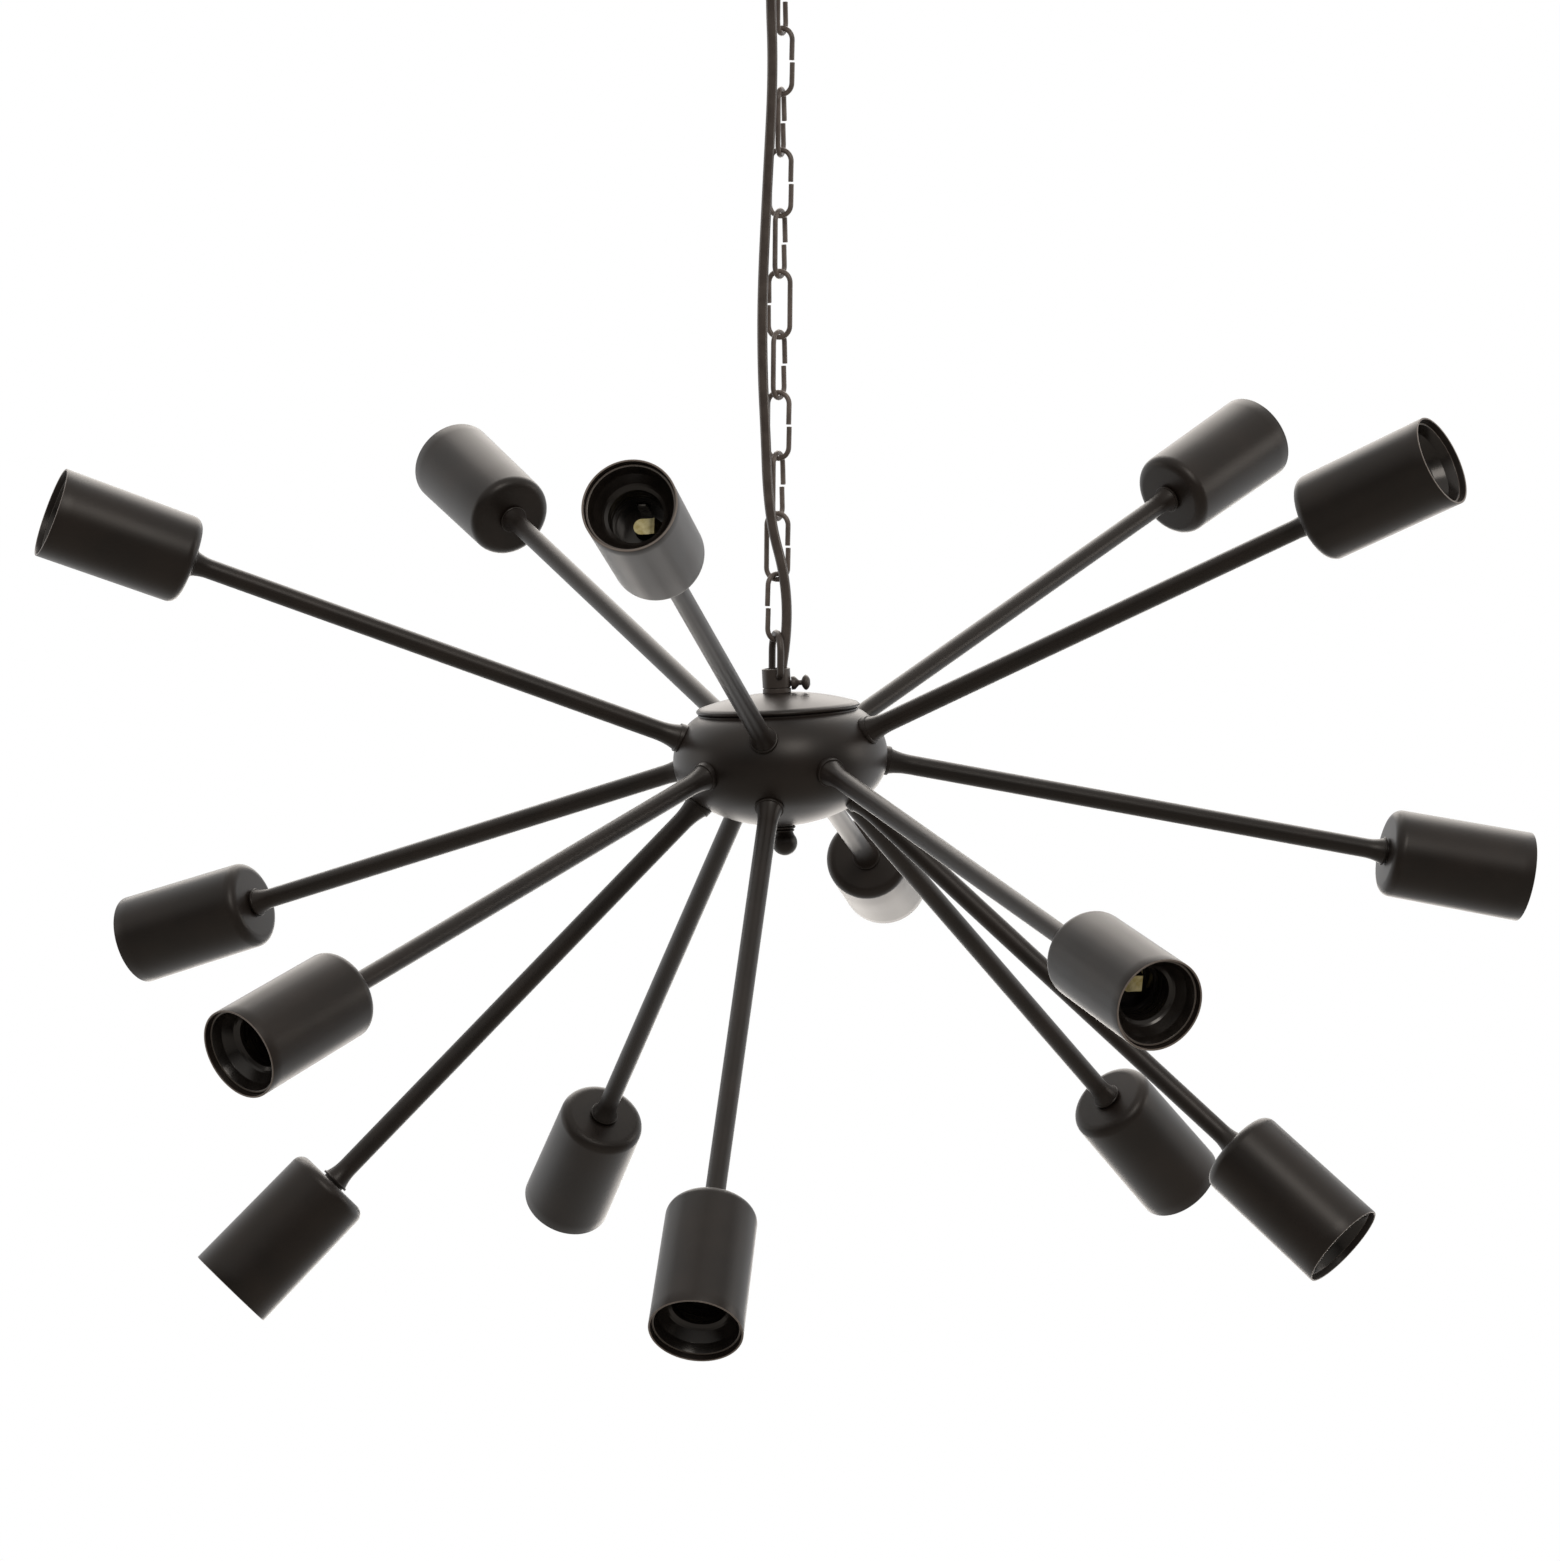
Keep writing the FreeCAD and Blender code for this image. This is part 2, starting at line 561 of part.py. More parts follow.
def hub_lid():
    """Shallow domed lid that overhangs the bowl's mouth, with a lip inside it."""
    low = HUB_MOUTH_Z
    rim = low + LID_EDGE
    hole = STEM_RADIUS + HOLE_GAP
    side, side_r, _, _ = hub_arcs(HUB_WALL)
    lip_r = side_r + math.sqrt(side ** 2 - low ** 2) - HOLE_GAP

    def dome(r, drop):
        return LID_APEX_Z - drop - LID_SPHERE + math.sqrt(LID_SPHERE ** 2 - r ** 2)

    def dome_arc(r1, r2, drop):
        mid = (r1 + r2) / 2
        return arc((r1, dome(r1, drop)), (mid, dome(mid, drop)), (r2, dome(r2, drop)))

    lip_in = lip_r - LID_WALL
    edge = LID_RADIUS - 0.9
    shell = spun_edges([
        dome_arc(hole, edge, 0.0),
        arc((edge, dome(edge, 0.0)), (LID_RADIUS, rim - 0.8), (edge, low + 0.35)),
        line((edge, low + 0.35), (edge - 0.5, low)),
        line((edge - 0.5, low), (lip_r, low)),
        line((lip_r, low), (lip_r, low - LID_LIP)),
        line((lip_r, low - LID_LIP), (lip_in, low - LID_LIP)),
        line((lip_in, low - LID_LIP), (lip_in, dome(lip_in, LID_WALL))),
        dome_arc(lip_in, hole, LID_WALL),
        line((hole, dome(hole, LID_WALL)), (hole, dome(hole, 0.0))),
    ])
    return shell.cut(rod(COLLAR_RADIUS, LID_TOP_Z, LID_APEX_Z + 1))


def hub_stem():
    """Hollow threaded tube through lid and bowl, with a window for the wires."""
    top = LID_TOP_Z + COLLAR_BAND
    stem = rod(STEM_RADIUS, STEM_BOTTOM_Z, top).cut(rod(STEM_BORE, STEM_BOTTOM_Z - 1, top + 1))
    window = Part.makeBox(
        STEM_RADIUS + 1, STEM_WINDOW, 2 * STEM_WINDOW, Vector(0, -STEM_WINDOW / 2, -STEM_WINDOW)
    )
    return stem.cut(window)


def hub_floor_at(radius):
    """Height of the bowl's inside at this distance from the middle."""
    _, _, bottom, centre_z = hub_arcs(HUB_WALL)
    return centre_z - math.sqrt(bottom ** 2 - radius ** 2)


def stem_nuts():
    """Hexagonal nuts inside: one draws the lid down, one holds the bowl against the finial."""
    corner = STEM_NUT_ACROSS / math.sqrt(3)
    under_lid = LID_APEX_Z - LID_WALL - LID_SPHERE + math.sqrt(LID_SPHERE ** 2 - corner ** 2)
    return group([
        nut(STEM_NUT_ACROSS, STEM_RADIUS, under_lid - NUT_HEIGHT),
        nut(STEM_NUT_ACROSS, STEM_RADIUS, hub_floor_at(corner)),
    ])


def terminal_block():
    """Moulded strip of screw terminals that joins the arms' wires to the cable."""
    length = TERMINAL_POLES * TERMINAL_PITCH
    stand = STEM_NUT_ACROSS / math.sqrt(3) + HOLE_GAP
    floor = hub_floor_at(math.hypot(length / 2, stand + TERMINAL_WIDTH))
    body = Part.makeBox(length, TERMINAL_WIDTH, TERMINAL_FOOT, Vector(-length / 2, stand, floor))
    for k in range(TERMINAL_POLES):
        x = -length / 2 + (k + 0.5) * TERMINAL_PITCH
        size = TERMINAL_PITCH * 0.75
        base = floor + TERMINAL_FOOT
        pillar = Part.makeBox(
            size, size, TERMINAL_HEIGHT, Vector(x - size / 2, stand + (TERMINAL_WIDTH - size) / 2, base)
        )
        screw = Part.makeCylinder(
            TERMINAL_PITCH * 0.2, TERMINAL_HEIGHT,
            Vector(x, stand + TERMINAL_WIDTH / 2, base + TERMINAL_HEIGHT / 2),
        )
        body = body.fuse(pillar).cut(screw)
    return body.removeSplitter()


def finial():
    """Turned end piece: a ringed neck, a ball, and a stud screwed into the stem's foot."""
    top = -HUB_DROP
    neck = FINIAL_NECK_RADIUS
    ball_z = top - FINIAL_NECK - FINIAL_BALL_DROP
    throat = FINIAL_THROAT
    bead_top = top - FINIAL_RING - FINIAL_STEP
    reach = math.sqrt(FINIAL_BALL ** 2 - throat ** 2)
    edges = [
        line((0, top + FINIAL_STUD), (STEM_BORE, top + FINIAL_STUD)),
        line((STEM_BORE, top + FINIAL_STUD), (STEM_BORE, top)),
        line((STEM_BORE, top), (neck, top)),
        arc((neck, top), (neck + FINIAL_BULGE, top - FINIAL_RING / 2), (neck, top - FINIAL_RING)),
        line((neck, top - FINIAL_RING), (throat, bead_top)),
        arc(
            (throat, bead_top),
            (throat + FINIAL_BULGE, bead_top - FINIAL_BEAD / 2),
            (throat, bead_top - FINIAL_BEAD),
        ),
        line((throat, bead_top - FINIAL_BEAD), (throat, ball_z + reach)),
        arc((throat, ball_z + reach), (FINIAL_BALL, ball_z), (0, ball_z - FINIAL_BALL)),
        line((0, ball_z - FINIAL_BALL), (0, top + FINIAL_STUD)),
    ]
    return spun_edges(edges)


# ---- arms, cups and lampholders -----------------------------------------------------------------
def arm_blank():
    """Steel tube with a root flared like a trumpet, a thread at both ends and a washer at the cup."""
    flare = FLARE_RADIUS - FLARE_LEDGE
    mid_z = FLARE_RIM + (FLARE_LENGTH - FLARE_RIM) * 0.4
    mid_r = ARM_RADIUS + (flare - ARM_RADIUS) * 0.36
    ring_z = ARM_LENGTH - END_RING_THICK
    return spun_edges([
        line((ARM_BORE, -ARM_TAIL), (ARM_THREAD_RADIUS, -ARM_TAIL)),
        line((ARM_THREAD_RADIUS, -ARM_TAIL), (ARM_THREAD_RADIUS, -FLARE_RIM)),
        line((ARM_THREAD_RADIUS, -FLARE_RIM), (FLARE_RADIUS, -FLARE_RIM)),
        line((FLARE_RADIUS, -FLARE_RIM), (FLARE_RADIUS, FLARE_RIM - FLARE_BEVEL)),
        line((FLARE_RADIUS, FLARE_RIM - FLARE_BEVEL), (flare, FLARE_RIM)),
        arc((flare, FLARE_RIM), (mid_r, mid_z), (ARM_RADIUS, FLARE_LENGTH)),
        line((ARM_RADIUS, FLARE_LENGTH), (ARM_RADIUS, ring_z)),
        line((ARM_RADIUS, ring_z), (END_RING_RADIUS, ring_z)),
        line((END_RING_RADIUS, ring_z), (END_RING_RADIUS, ARM_LENGTH)),
        line((END_RING_RADIUS, ARM_LENGTH), (ARM_THREAD_RADIUS, ARM_LENGTH)),
        line((ARM_THREAD_RADIUS, ARM_LENGTH), (ARM_THREAD_RADIUS, ARM_LENGTH + ARM_NIPPLE)),
        line((ARM_THREAD_RADIUS, ARM_LENGTH + ARM_NIPPLE), (ARM_BORE, ARM_LENGTH + ARM_NIPPLE)),
        line((ARM_BORE, ARM_LENGTH + ARM_NIPPLE), (ARM_BORE, -ARM_TAIL)),
    ])


def arm(place, blank, hub_outside):
    """One arm; the back of its flare is shaped to the hub where it bears on it."""
    core = placed(rod(ARM_THREAD_RADIUS, -2 * ARM_TAIL, FLARE_LENGTH), place)
    return placed(blank, place).cut(hub_outside.cut(core))


def arm_nuts(places, hub_inside):
    """Two nuts to an arm: one inside the hub, its seat curved like the wall, and one in the cup."""
    nuts = []
    deep = HUB_WALL + NUT_SADDLE + NUT_HEIGHT
    for _, place in places:
        blank = nut(ARM_NUT_ACROSS, ARM_THREAD_RADIUS, -deep, deep)
        nuts.append(placed(blank, place).common(hub_inside))
        nuts.append(placed(nut(ARM_NUT_ACROSS, ARM_THREAD_RADIUS, ARM_LENGTH + CUP_WALL), place))
    return group(nuts)


def cup():
    """Drawn steel cup, slightly wider at its mouth, with a round back corner."""
    def outer(z):
        return CUP_BACK_RADIUS + (CUP_MOUTH_RADIUS - CUP_BACK_RADIUS) * z / CUP_LENGTH

    c, w, bend = CUP_CORNER, CUP_WALL, math.sqrt(0.5)
    r = outer(c)
    inner = c - w
    shell = spun_edges([
        line((0, 0), (r - c, 0)),
        arc((r - c, 0), (r - c + c * bend, c - c * bend), (r, c)),
        line((r, c), (CUP_MOUTH_RADIUS, CUP_LENGTH)),
        line((CUP_MOUTH_RADIUS, CUP_LENGTH), (CUP_MOUTH_RADIUS - w, CUP_LENGTH)),
        line((CUP_MOUTH_RADIUS - w, CUP_LENGTH), (r - w, c)),
        arc((r - w, c), (r - c + inner * bend, c - inner * bend), (r - c, w)),
        line((r - c, w), (0, w)),
        line((0, w), (0, 0)),
    ])
    return shell.cut(rod(ARM_THREAD_RADIUS + HOLE_GAP, -1, 2 * w))


def holder_levels():
    """Heights, from the cup's back, of the lampholder's ring, throat, thread end, floor and seat."""
    ring = CUP_LENGTH - HOLDER_RECESS
    throat = ring - FUNNEL_DEPTH
    thread = throat - THREAD_CHAMFER - THREAD_DEPTH
    floor = thread - CONTACT_DEPTH
    seat = CUP_WALL + NUT_HEIGHT
    return ring, throat, thread, floor, seat


def lampholder():
    """Moulded lampholder: a funnel, a bore for the lamp's thread, a contact chamber, a boss behind."""
    ring, throat, thread, floor, seat = holder_levels()
    wall_r = CUP_BACK_RADIUS + (CUP_MOUTH_RADIUS - CUP_BACK_RADIUS) * throat / CUP_LENGTH
    ring_r = wall_r - CUP_WALL - HOLE_GAP
    body_r = THREAD_RADIUS + HOLDER_WALL
    bore = ARM_THREAD_RADIUS + THREAD_GAP
    return spun_edges([
        line((bore, seat), (HOLDER_BOSS_RADIUS, seat)),
        line((HOLDER_BOSS_RADIUS, seat), (HOLDER_BOSS_RADIUS, floor - HOLDER_FLOOR - 5)),
        line((HOLDER_BOSS_RADIUS, floor - HOLDER_FLOOR - 5), (body_r, floor - HOLDER_FLOOR)),
        line((body_r, floor - HOLDER_FLOOR), (body_r, throat - 6)),
        line((body_r, throat - 6), (ring_r, throat)),
        line((ring_r, throat), (ring_r, ring)),
        line((ring_r, ring), (ring_r - HOLDER_RING_WIDTH, ring)),
        line((ring_r - HOLDER_RING_WIDTH, ring), (FUNNEL_THROAT, throat)),
        line((FUNNEL_THROAT, throat), (THREAD_RADIUS, throat - THREAD_CHAMFER)),
        line((THREAD_RADIUS, throat - THREAD_CHAMFER), (THREAD_RADIUS, thread)),
        line((THREAD_RADIUS, thread), (CONTACT_RADIUS, thread)),
        line((CONTACT_RADIUS, thread), (CONTACT_RADIUS, floor)),
        line((CONTACT_RADIUS, floor), (bore, floor)),
        line((bore, floor), (bore, seat)),
    ])


def holder_contacts():
    """Centre tongue and side contact, springs of strip metal that stand on the holder's floor."""
    floor = holder_levels()[3]
    half, thick = TONGUE_WIDTH / 2, TONGUE_THICK
    root = CONTACT_RADIUS - 2.0
    foot = [
        Vector(-half, root - 6, floor), Vector(half, root - 6, floor),
        Vector(half, root, floor), Vector(-half, root, floor),
    ]
    base = Part.Face(Part.makePolygon(foot + foot[:1])).extrude(Vector(0, 0, thick))
    slope = [
        Vector(-half, root - thick, floor + thick), Vector(-half, root, floor + thick),
        Vector(-half, 0, floor + TONGUE_RISE + thick), Vector(-half, 0, floor + TONGUE_RISE),
    ]
    strip = Part.Face(Part.makePolygon(slope + slope[:1])).extrude(Vector(TONGUE_WIDTH, 0, 0))
    pad = Part.makeCylinder(half, thick, Vector(0, 0, floor + TONGUE_RISE))
    tongue = base.fuse(strip).fuse(pad)
    side = Part.makeBox(
        thick, SIDE_CONTACT_WIDTH, SIDE_CONTACT_HEIGHT,
        Vector(-CONTACT_RADIUS + thick, -SIDE_CONTACT_WIDTH / 2, floor),
    )
    return [tongue.removeSplitter(), side]


# ---- cable --------------------------------------------------------------------------------------
def rounded(points):
    """Straight runs joined by arcs as large as the runs beside each point allow."""
    points = [Vector(*p) for p in points]
    edges, start, radii = [], points[0], []
    for before, at, after in zip(points, points[1:], points[2:]):
        into, out = at - before, after - at
        turn = into.getAngle(out)
        cut = 0.45 * min(into.Length, out.Length)
        radii.append(cut / math.tan(turn / 2))
        a = at - into.normalize() * cut
        b = at + out.normalize() * cut
        corner = (a + b) * 0.5
        sagitta = (1 / math.cos(turn / 2) - 1) * radii[-1]
        inward = (corner - at).normalize()
        edges.append(Part.LineSegment(start, a).toShape())
        edges.append(Part.Arc(a, at + inward * sagitta, b).toShape())
        start = b
    edges.append(Part.LineSegment(start, points[-1]).toShape())
    return Part.Wire(edges), radii


def cable():
    """The supply cable, which hangs beside the chain from the canopy's gland into the collar."""
    path, radii = rounded(CABLE_ROUTE)
    start = Vector(*CABLE_ROUTE[0])
    tube = swept(path, CABLE_RADIUS, start, Vector(*CABLE_ROUTE[1]) - start)
    print("cable: length %.1f, radii %s" % (path.Length, " ".join("%.0f" % r for r in radii)))
    print("cable: volume / (section x length) %.4f" % (tube.Volume / (math.pi * CABLE_RADIUS ** 2 * path.Length)))
    return tube


# ---- build --------------------------------------------------------------------------------------
def main():
    os.makedirs("parts", exist_ok=True)
    save("ceiling_bracket", ceiling_bracket())
    save("canopy", canopy())
    save("canopy_fixings", canopy_fixings())
    save("canopy_hanger", canopy_hanger())
    save("hanger_nuts", hanger_nuts())
    save("cable_gland", cable_gland())
    for number in range(1, LINKS + 1):
        save("chain_link_%02d" % number, chain_link(number))
    save("bail", bail())
    save("cable", cable())

    places = arm_places()
    for name, shape in (
        ("hub_collar", hub_collar()),
        ("thumb_screw", thumb_screw()),
        ("hub_lid", hub_lid()),
        ("hub_shell", hub_shell(places)),
        ("hub_stem", hub_stem()),
        ("stem_nuts", stem_nuts()),
        ("terminal_block", terminal_block()),
        ("finial", finial()),
        ("arm_nuts", arm_nuts(places, hub_solid(HUB_WALL))),
    ):
        save(name, placed(shape, HANG))

    blank, hub_outside = arm_blank(), hub_solid()
    cup_shape, holder, contacts = cup(), lampholder(), holder_contacts()
    holders, springs = [], []
    for name, place in places:
        at_cup = place.multiply(FreeCAD.Placement(Vector(0, 0, ARM_LENGTH), FreeCAD.Rotation()))
        save("arm_" + name, placed(arm(place, blank, hub_outside), HANG))
        save("cup_" + name, placed(placed(cup_shape, at_cup), HANG))
        holders.append(placed(placed(holder, at_cup), HANG))
        springs.extend(placed(placed(contact, at_cup), HANG) for contact in contacts)
    save("lampholders", group(holders))
    save("lamp_contacts", group(springs))


main()
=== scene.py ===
"""Sputnik chandelier: fifteen lamp cups on straight arms, a flattened hub, a chain and a ceiling cup."""
import json
import math

import bpy
from mathutils import Matrix, Vector

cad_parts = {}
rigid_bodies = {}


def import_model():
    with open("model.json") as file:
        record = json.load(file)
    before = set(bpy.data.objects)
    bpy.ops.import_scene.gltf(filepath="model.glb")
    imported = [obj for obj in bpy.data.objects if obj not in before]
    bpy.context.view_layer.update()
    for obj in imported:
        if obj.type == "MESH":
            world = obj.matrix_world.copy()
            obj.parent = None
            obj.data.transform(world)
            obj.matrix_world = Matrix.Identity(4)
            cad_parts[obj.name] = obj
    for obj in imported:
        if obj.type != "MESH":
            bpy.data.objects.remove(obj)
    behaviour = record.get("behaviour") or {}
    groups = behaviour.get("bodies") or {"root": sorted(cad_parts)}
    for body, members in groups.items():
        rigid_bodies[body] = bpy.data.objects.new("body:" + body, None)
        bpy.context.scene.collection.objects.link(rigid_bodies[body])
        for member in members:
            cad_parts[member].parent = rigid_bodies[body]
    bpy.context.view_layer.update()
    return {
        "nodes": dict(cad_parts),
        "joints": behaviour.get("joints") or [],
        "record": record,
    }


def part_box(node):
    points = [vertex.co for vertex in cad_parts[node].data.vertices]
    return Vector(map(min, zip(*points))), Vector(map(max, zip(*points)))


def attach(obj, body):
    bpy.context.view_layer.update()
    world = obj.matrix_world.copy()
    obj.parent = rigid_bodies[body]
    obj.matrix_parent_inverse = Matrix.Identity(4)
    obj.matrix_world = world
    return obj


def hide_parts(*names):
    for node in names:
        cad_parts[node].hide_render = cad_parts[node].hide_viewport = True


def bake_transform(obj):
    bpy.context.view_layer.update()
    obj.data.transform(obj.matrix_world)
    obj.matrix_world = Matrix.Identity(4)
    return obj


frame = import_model()
MM = 0.001

# ---- camera ---------------------------------------------------------------------------------------
# The light hangs level with the eye and is seen from nearly five metres away through a long lens, a
# little from above.  The camera is turned by half a degree, as a hand-set tripod is.
joints = {joint["name"]: joint for joint in frame["joints"]}
pin_point = Vector(joints["hub_tilt"]["pos_m"])
pin_axis = Vector(joints["hub_tilt"]["axis"])
hub_side = Vector(joints["thumb_screw_turn"]["axis"])
hub_up = hub_side.cross(pin_axis).normalized()
PIN_RISE = 41.70 * MM                      # bail pins above the hub's middle
hub_middle = pin_point - hub_up * PIN_RISE

EYE_DISTANCE = 4.7179
EYE_RISE = 3.594                           # degrees above the hub
EYE_TURN = -0.27                           # degrees round the hub
EYE_ROLL = 0.486                           # degrees
FRAME_PX = (1560, 1561)
HUB_PX = (780.41, 757.61)                  # where the hub's middle stands in the photograph
LENS_MM = 215.08
SENSOR_MM = 36.0
FARTHEST_SEEN = 50.0                       # metres, past the far end of the floor

rise, turn = math.radians(EYE_RISE), math.radians(EYE_TURN)
eye = hub_middle + EYE_DISTANCE * Vector(
    (math.sin(turn) * math.cos(rise), -math.cos(turn) * math.cos(rise), math.sin(rise))
)
look = (hub_middle - eye).normalized()
right = look.cross(Vector((0, 0, 1))).normalized()
above = right.cross(look)
roll = math.radians(EYE_ROLL)
right, above = (
    right * math.cos(roll) + above * math.sin(roll),
    above * math.cos(roll) - right * math.sin(roll),
)
camera_data = bpy.data.cameras.new("camera")
camera_data.lens = LENS_MM
camera_data.sensor_width = SENSOR_MM
camera_data.sensor_height = SENSOR_MM
camera_data.sensor_fit = "AUTO"
camera_data.clip_end = FARTHEST_SEEN
camera_data.shift_x = (FRAME_PX[0] / 2 - HUB_PX[0]) / max(FRAME_PX)
camera_data.shift_y = (HUB_PX[1] - FRAME_PX[1] / 2) / max(FRAME_PX)
camera = bpy.data.objects.new("camera", camera_data)
turned_axes = Matrix((right, above, -look)).transposed()
camera.matrix_world = Matrix.Translation(eye) @ turned_axes.to_4x4()
bpy.context.scene.collection.objects.link(camera)
bpy.context.scene.camera = camera

# ---- supply cable ---------------------------------------------------------------------------------
# Round two-core mains cable, 5.2 mm over its sheath of extruded black PVC.  It drops from the gland
# beside the chain, leans on the links, crosses in front of the lowest ones and goes into the collar.
# It is cut into one stretch for each joint.
CABLE_DIAMETER = 5.2 * MM
GLAND_X, GLAND_Y = -6.0, -15.0
CABLE_ROUTE = [
    (GLAND_X, GLAND_Y, -17.0),
    (GLAND_X, GLAND_Y, -58.0),
    (-4.0, -9.6, -100.0),
    (-6.5, -8.6, -156.0),
    (-8.7, -7.4, -210.0),
    (-8.3, -7.6, -250.0),
    (-6.3, -8.7, -284.0),
    (-5.2, -9.1, -310.0),
    (-2.4, -8.6, -331.0),
    (3.0, -6.6, -350.0),
    (5.2, -4.6, -368.0),
    (4.8, -3.2, -385.0),
    (2.9, -1.0, -400.0),
    (1.2, -0.3, -413.0),
    (1.9, -0.2, -425.0),
]
CABLE_STEPS = 26                           # rings along one stretch
CABLE_SIDES = 28
PVC_PATCH = 9.0                            # mm across a patch of one shade
PVC_GRAIN = 1.6                            # the real grain is too fine to show, so it is drawn this coarse
PVC_GRAIN_DEPTH = 0.004


def linear(code):
    """A colour written as sRGB hex, in the linear values that shaders take."""
    parts = [int(code[i:i + 2], 16) / 255 for i in (1, 3, 5)]
    return tuple(c / 12.92 if c <= 0.04045 else ((c + 0.055) / 1.055) ** 2.4 for c in parts) + (1.0,)


def add_node(tree, kind, settings=(), links=(), stops=()):
    """Adds one shader node, with its values and colour stops set and its sockets joined."""
    node = tree.nodes.new(kind)
    for name, value in dict(settings).items():
        if isinstance(name, int) or name in node.inputs:
            node.inputs[name].default_value = value
        else:
            setattr(node, name, value)
    for number, (at, code) in enumerate(stops):
        node.color_ramp.elements[number].position = at
        node.color_ramp.elements[number].color = linear(code)
    for socket, source in dict(links).items():
        tree.links.new(source, node.inputs[socket])
    return node


def new_material(name, **values):
    """A material with its main shader's plain values set."""
    material = bpy.data.materials.new(name)
    material.use_nodes = True
    shader = material.node_tree.nodes["Principled BSDF"]
    for socket, value in values.items():
        shader.inputs[socket].default_value = value
    return material, material.node_tree, shader


def extruded_pvc():
    """Black PVC drawn through a die: smooth, with a soft shine that wavers a little along the cable.
    Its grey base colour is painted highlight, for the reflections along its sides.
    """
    material, tree, shader = new_material("extruded_black_pvc", IOR=1.52)
    place = add_node(tree, "ShaderNodeTexCoord").outputs["Object"]
    patches = add_node(
        tree, "ShaderNodeTexNoise", {"Scale": 1 / (PVC_PATCH * MM), "Detail": 3.0}, {"Vector": place}
    ).outputs["Fac"]
    # Painted highlight: the black sheath is given a grey base colour.
    shades = add_node(
        tree, "ShaderNodeValToRGB", (), {"Fac": patches}, stops=((0.35, "#544d4a"), (0.65, "#625b57"))
    )
    shine = add_node(tree, "ShaderNodeMapRange", {"To Min": 0.18, "To Max": 0.26}, {"Value": patches})
    grain = add_node(
        tree, "ShaderNodeTexNoise", {"Scale": 1 / (PVC_GRAIN * MM), "Detail": 2.0}, {"Vector": place}
    )
    bumps = add_node(
        tree, "ShaderNodeBump", {"Strength": 0.2, "Distance": PVC_GRAIN_DEPTH * MM},
        {"Height": grain.outputs["Fac"]},
    )
    tree.links.new(shades.outputs["Color"], shader.inputs["Base Color"])
    tree.links.new(shine.outputs["Result"], shader.inputs["Roughness"])
    tree.links.new(bumps.outputs["Normal"], shader.inputs["Normal"])
    return material


def link_up(name, mesh, material):
    """Puts a mesh into the scene as a piece with its material."""
    piece = bpy.data.objects.new(name, mesh)
    bpy.context.scene.collection.objects.link(piece)
    mesh.materials.append(material)
    return piece


def mesh_of(name, points, faces, sharp=32.0):
    """A smooth-shaded mesh whose edges stay crisp where it turns by more than the given degrees."""
    mesh = bpy.data.meshes.new(name)
    mesh.from_pydata([tuple(p) for p in points], [], faces)
    mesh.validate()
    mesh.shade_smooth()
    mesh.set_sharp_from_angle(angle=math.radians(sharp))
    return mesh


def wire_frames(line):
    """At each point of a line, two directions square to it that never twist about it."""
    ways = []
    for i in range(len(line)):
        ways.append((line[min(i + 1, len(line) - 1)] - line[max(i - 1, 0)]).normalized())
    side = ways[0].orthogonal().normalized()
    frames = []
    for way in ways:
        side = (side - way * side.dot(way)).normalized()
        frames.append((side, way.cross(side)))
    return frames


def wire_mesh(name, line, radii, sides=20, sharp=50.0, frames=None):
    """A round wire along a line, with its own radius at each point and closed ends."""
    frames = frames or wire_frames(line)
    points, faces = [], []
    for at, radius, (side, other) in zip(line, radii, frames):
        for k in range(sides):
            angle = 2 * math.pi * k / sides
            points.append(at + side * radius * math.cos(angle) + other * radius * math.sin(angle))
    for i in range(len(line) - 1):
        for k in range(sides):
            a, b = i * sides + k, i * sides + (k + 1) % sides
            faces.append((a, b, b + sides, a + sides))
    faces.append(tuple(reversed(range(sides))))
    faces.append(tuple(range((len(line) - 1) * sides, len(line) * sides)))
    return mesh_of(name, points, faces, sharp)


route = bpy.data.curves.new("cable_route", "CURVE")
route.dimensions = "3D"
route.resolution_u = 60
spline = route.splines.new("NURBS")
spline.points.add(len(CABLE_ROUTE) - 1)
for control, place in zip(spline.points, CABLE_ROUTE):
    control.co = (place[0] * MM, place[1] * MM, place[2] * MM, 1.0)
spline.order_u = 3
spline.use_endpoint_u = True
route_object = bpy.data.objects.new("cable_route", route)
bpy.context.scene.collection.objects.link(route_object)
route_mesh = bpy.data.meshes.new_from_object(route_object)
cable_line = [v.co.copy() for v in route_mesh.vertices]
bpy.data.objects.remove(route_object)

hanging_bodies = ["ceiling_fitting"]
while hanging_bodies[-1] != "hub":
    below = [j["child"] for j in frame["joints"] if j["parent"] == hanging_bodies[-1]]
    hanging_bodies.append(below[0])
stretches = len(hanging_bodies) - 1
travelled = [0.0]
for before, after in zip(cable_line, cable_line[1:]):
    travelled.append(travelled[-1] + (after - before).length)


def cable_point(distance):
    """The point of the cable's middle line at this distance from its upper end."""
    k = next((i for i, t in enumerate(travelled) if t >= distance), len(travelled) - 1)
    k = max(k, 1)
    share = (distance - travelled[k - 1]) / (travelled[k] - travelled[k - 1])
    return cable_line[k - 1].lerp(cable_line[k], share)


steps = stretches * CABLE_STEPS
whole = [cable_point(travelled[-1] * i / steps) for i in range(steps + 1)]
whole_frames = wire_frames(whole)
pvc = extruded_pvc()
for k in range(stretches):
    name = "cable_%02d" % (k + 1)
    span = slice(k * CABLE_STEPS, (k + 1) * CABLE_STEPS + 1)
    stretch = whole[span]
    radii = [CABLE_DIAMETER / 2] * len(stretch)
    piece = link_up(name, wire_mesh(name, stretch, radii, CABLE_SIDES, frames=whole_frames[span]), pvc)
    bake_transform(piece)
    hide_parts("cable")

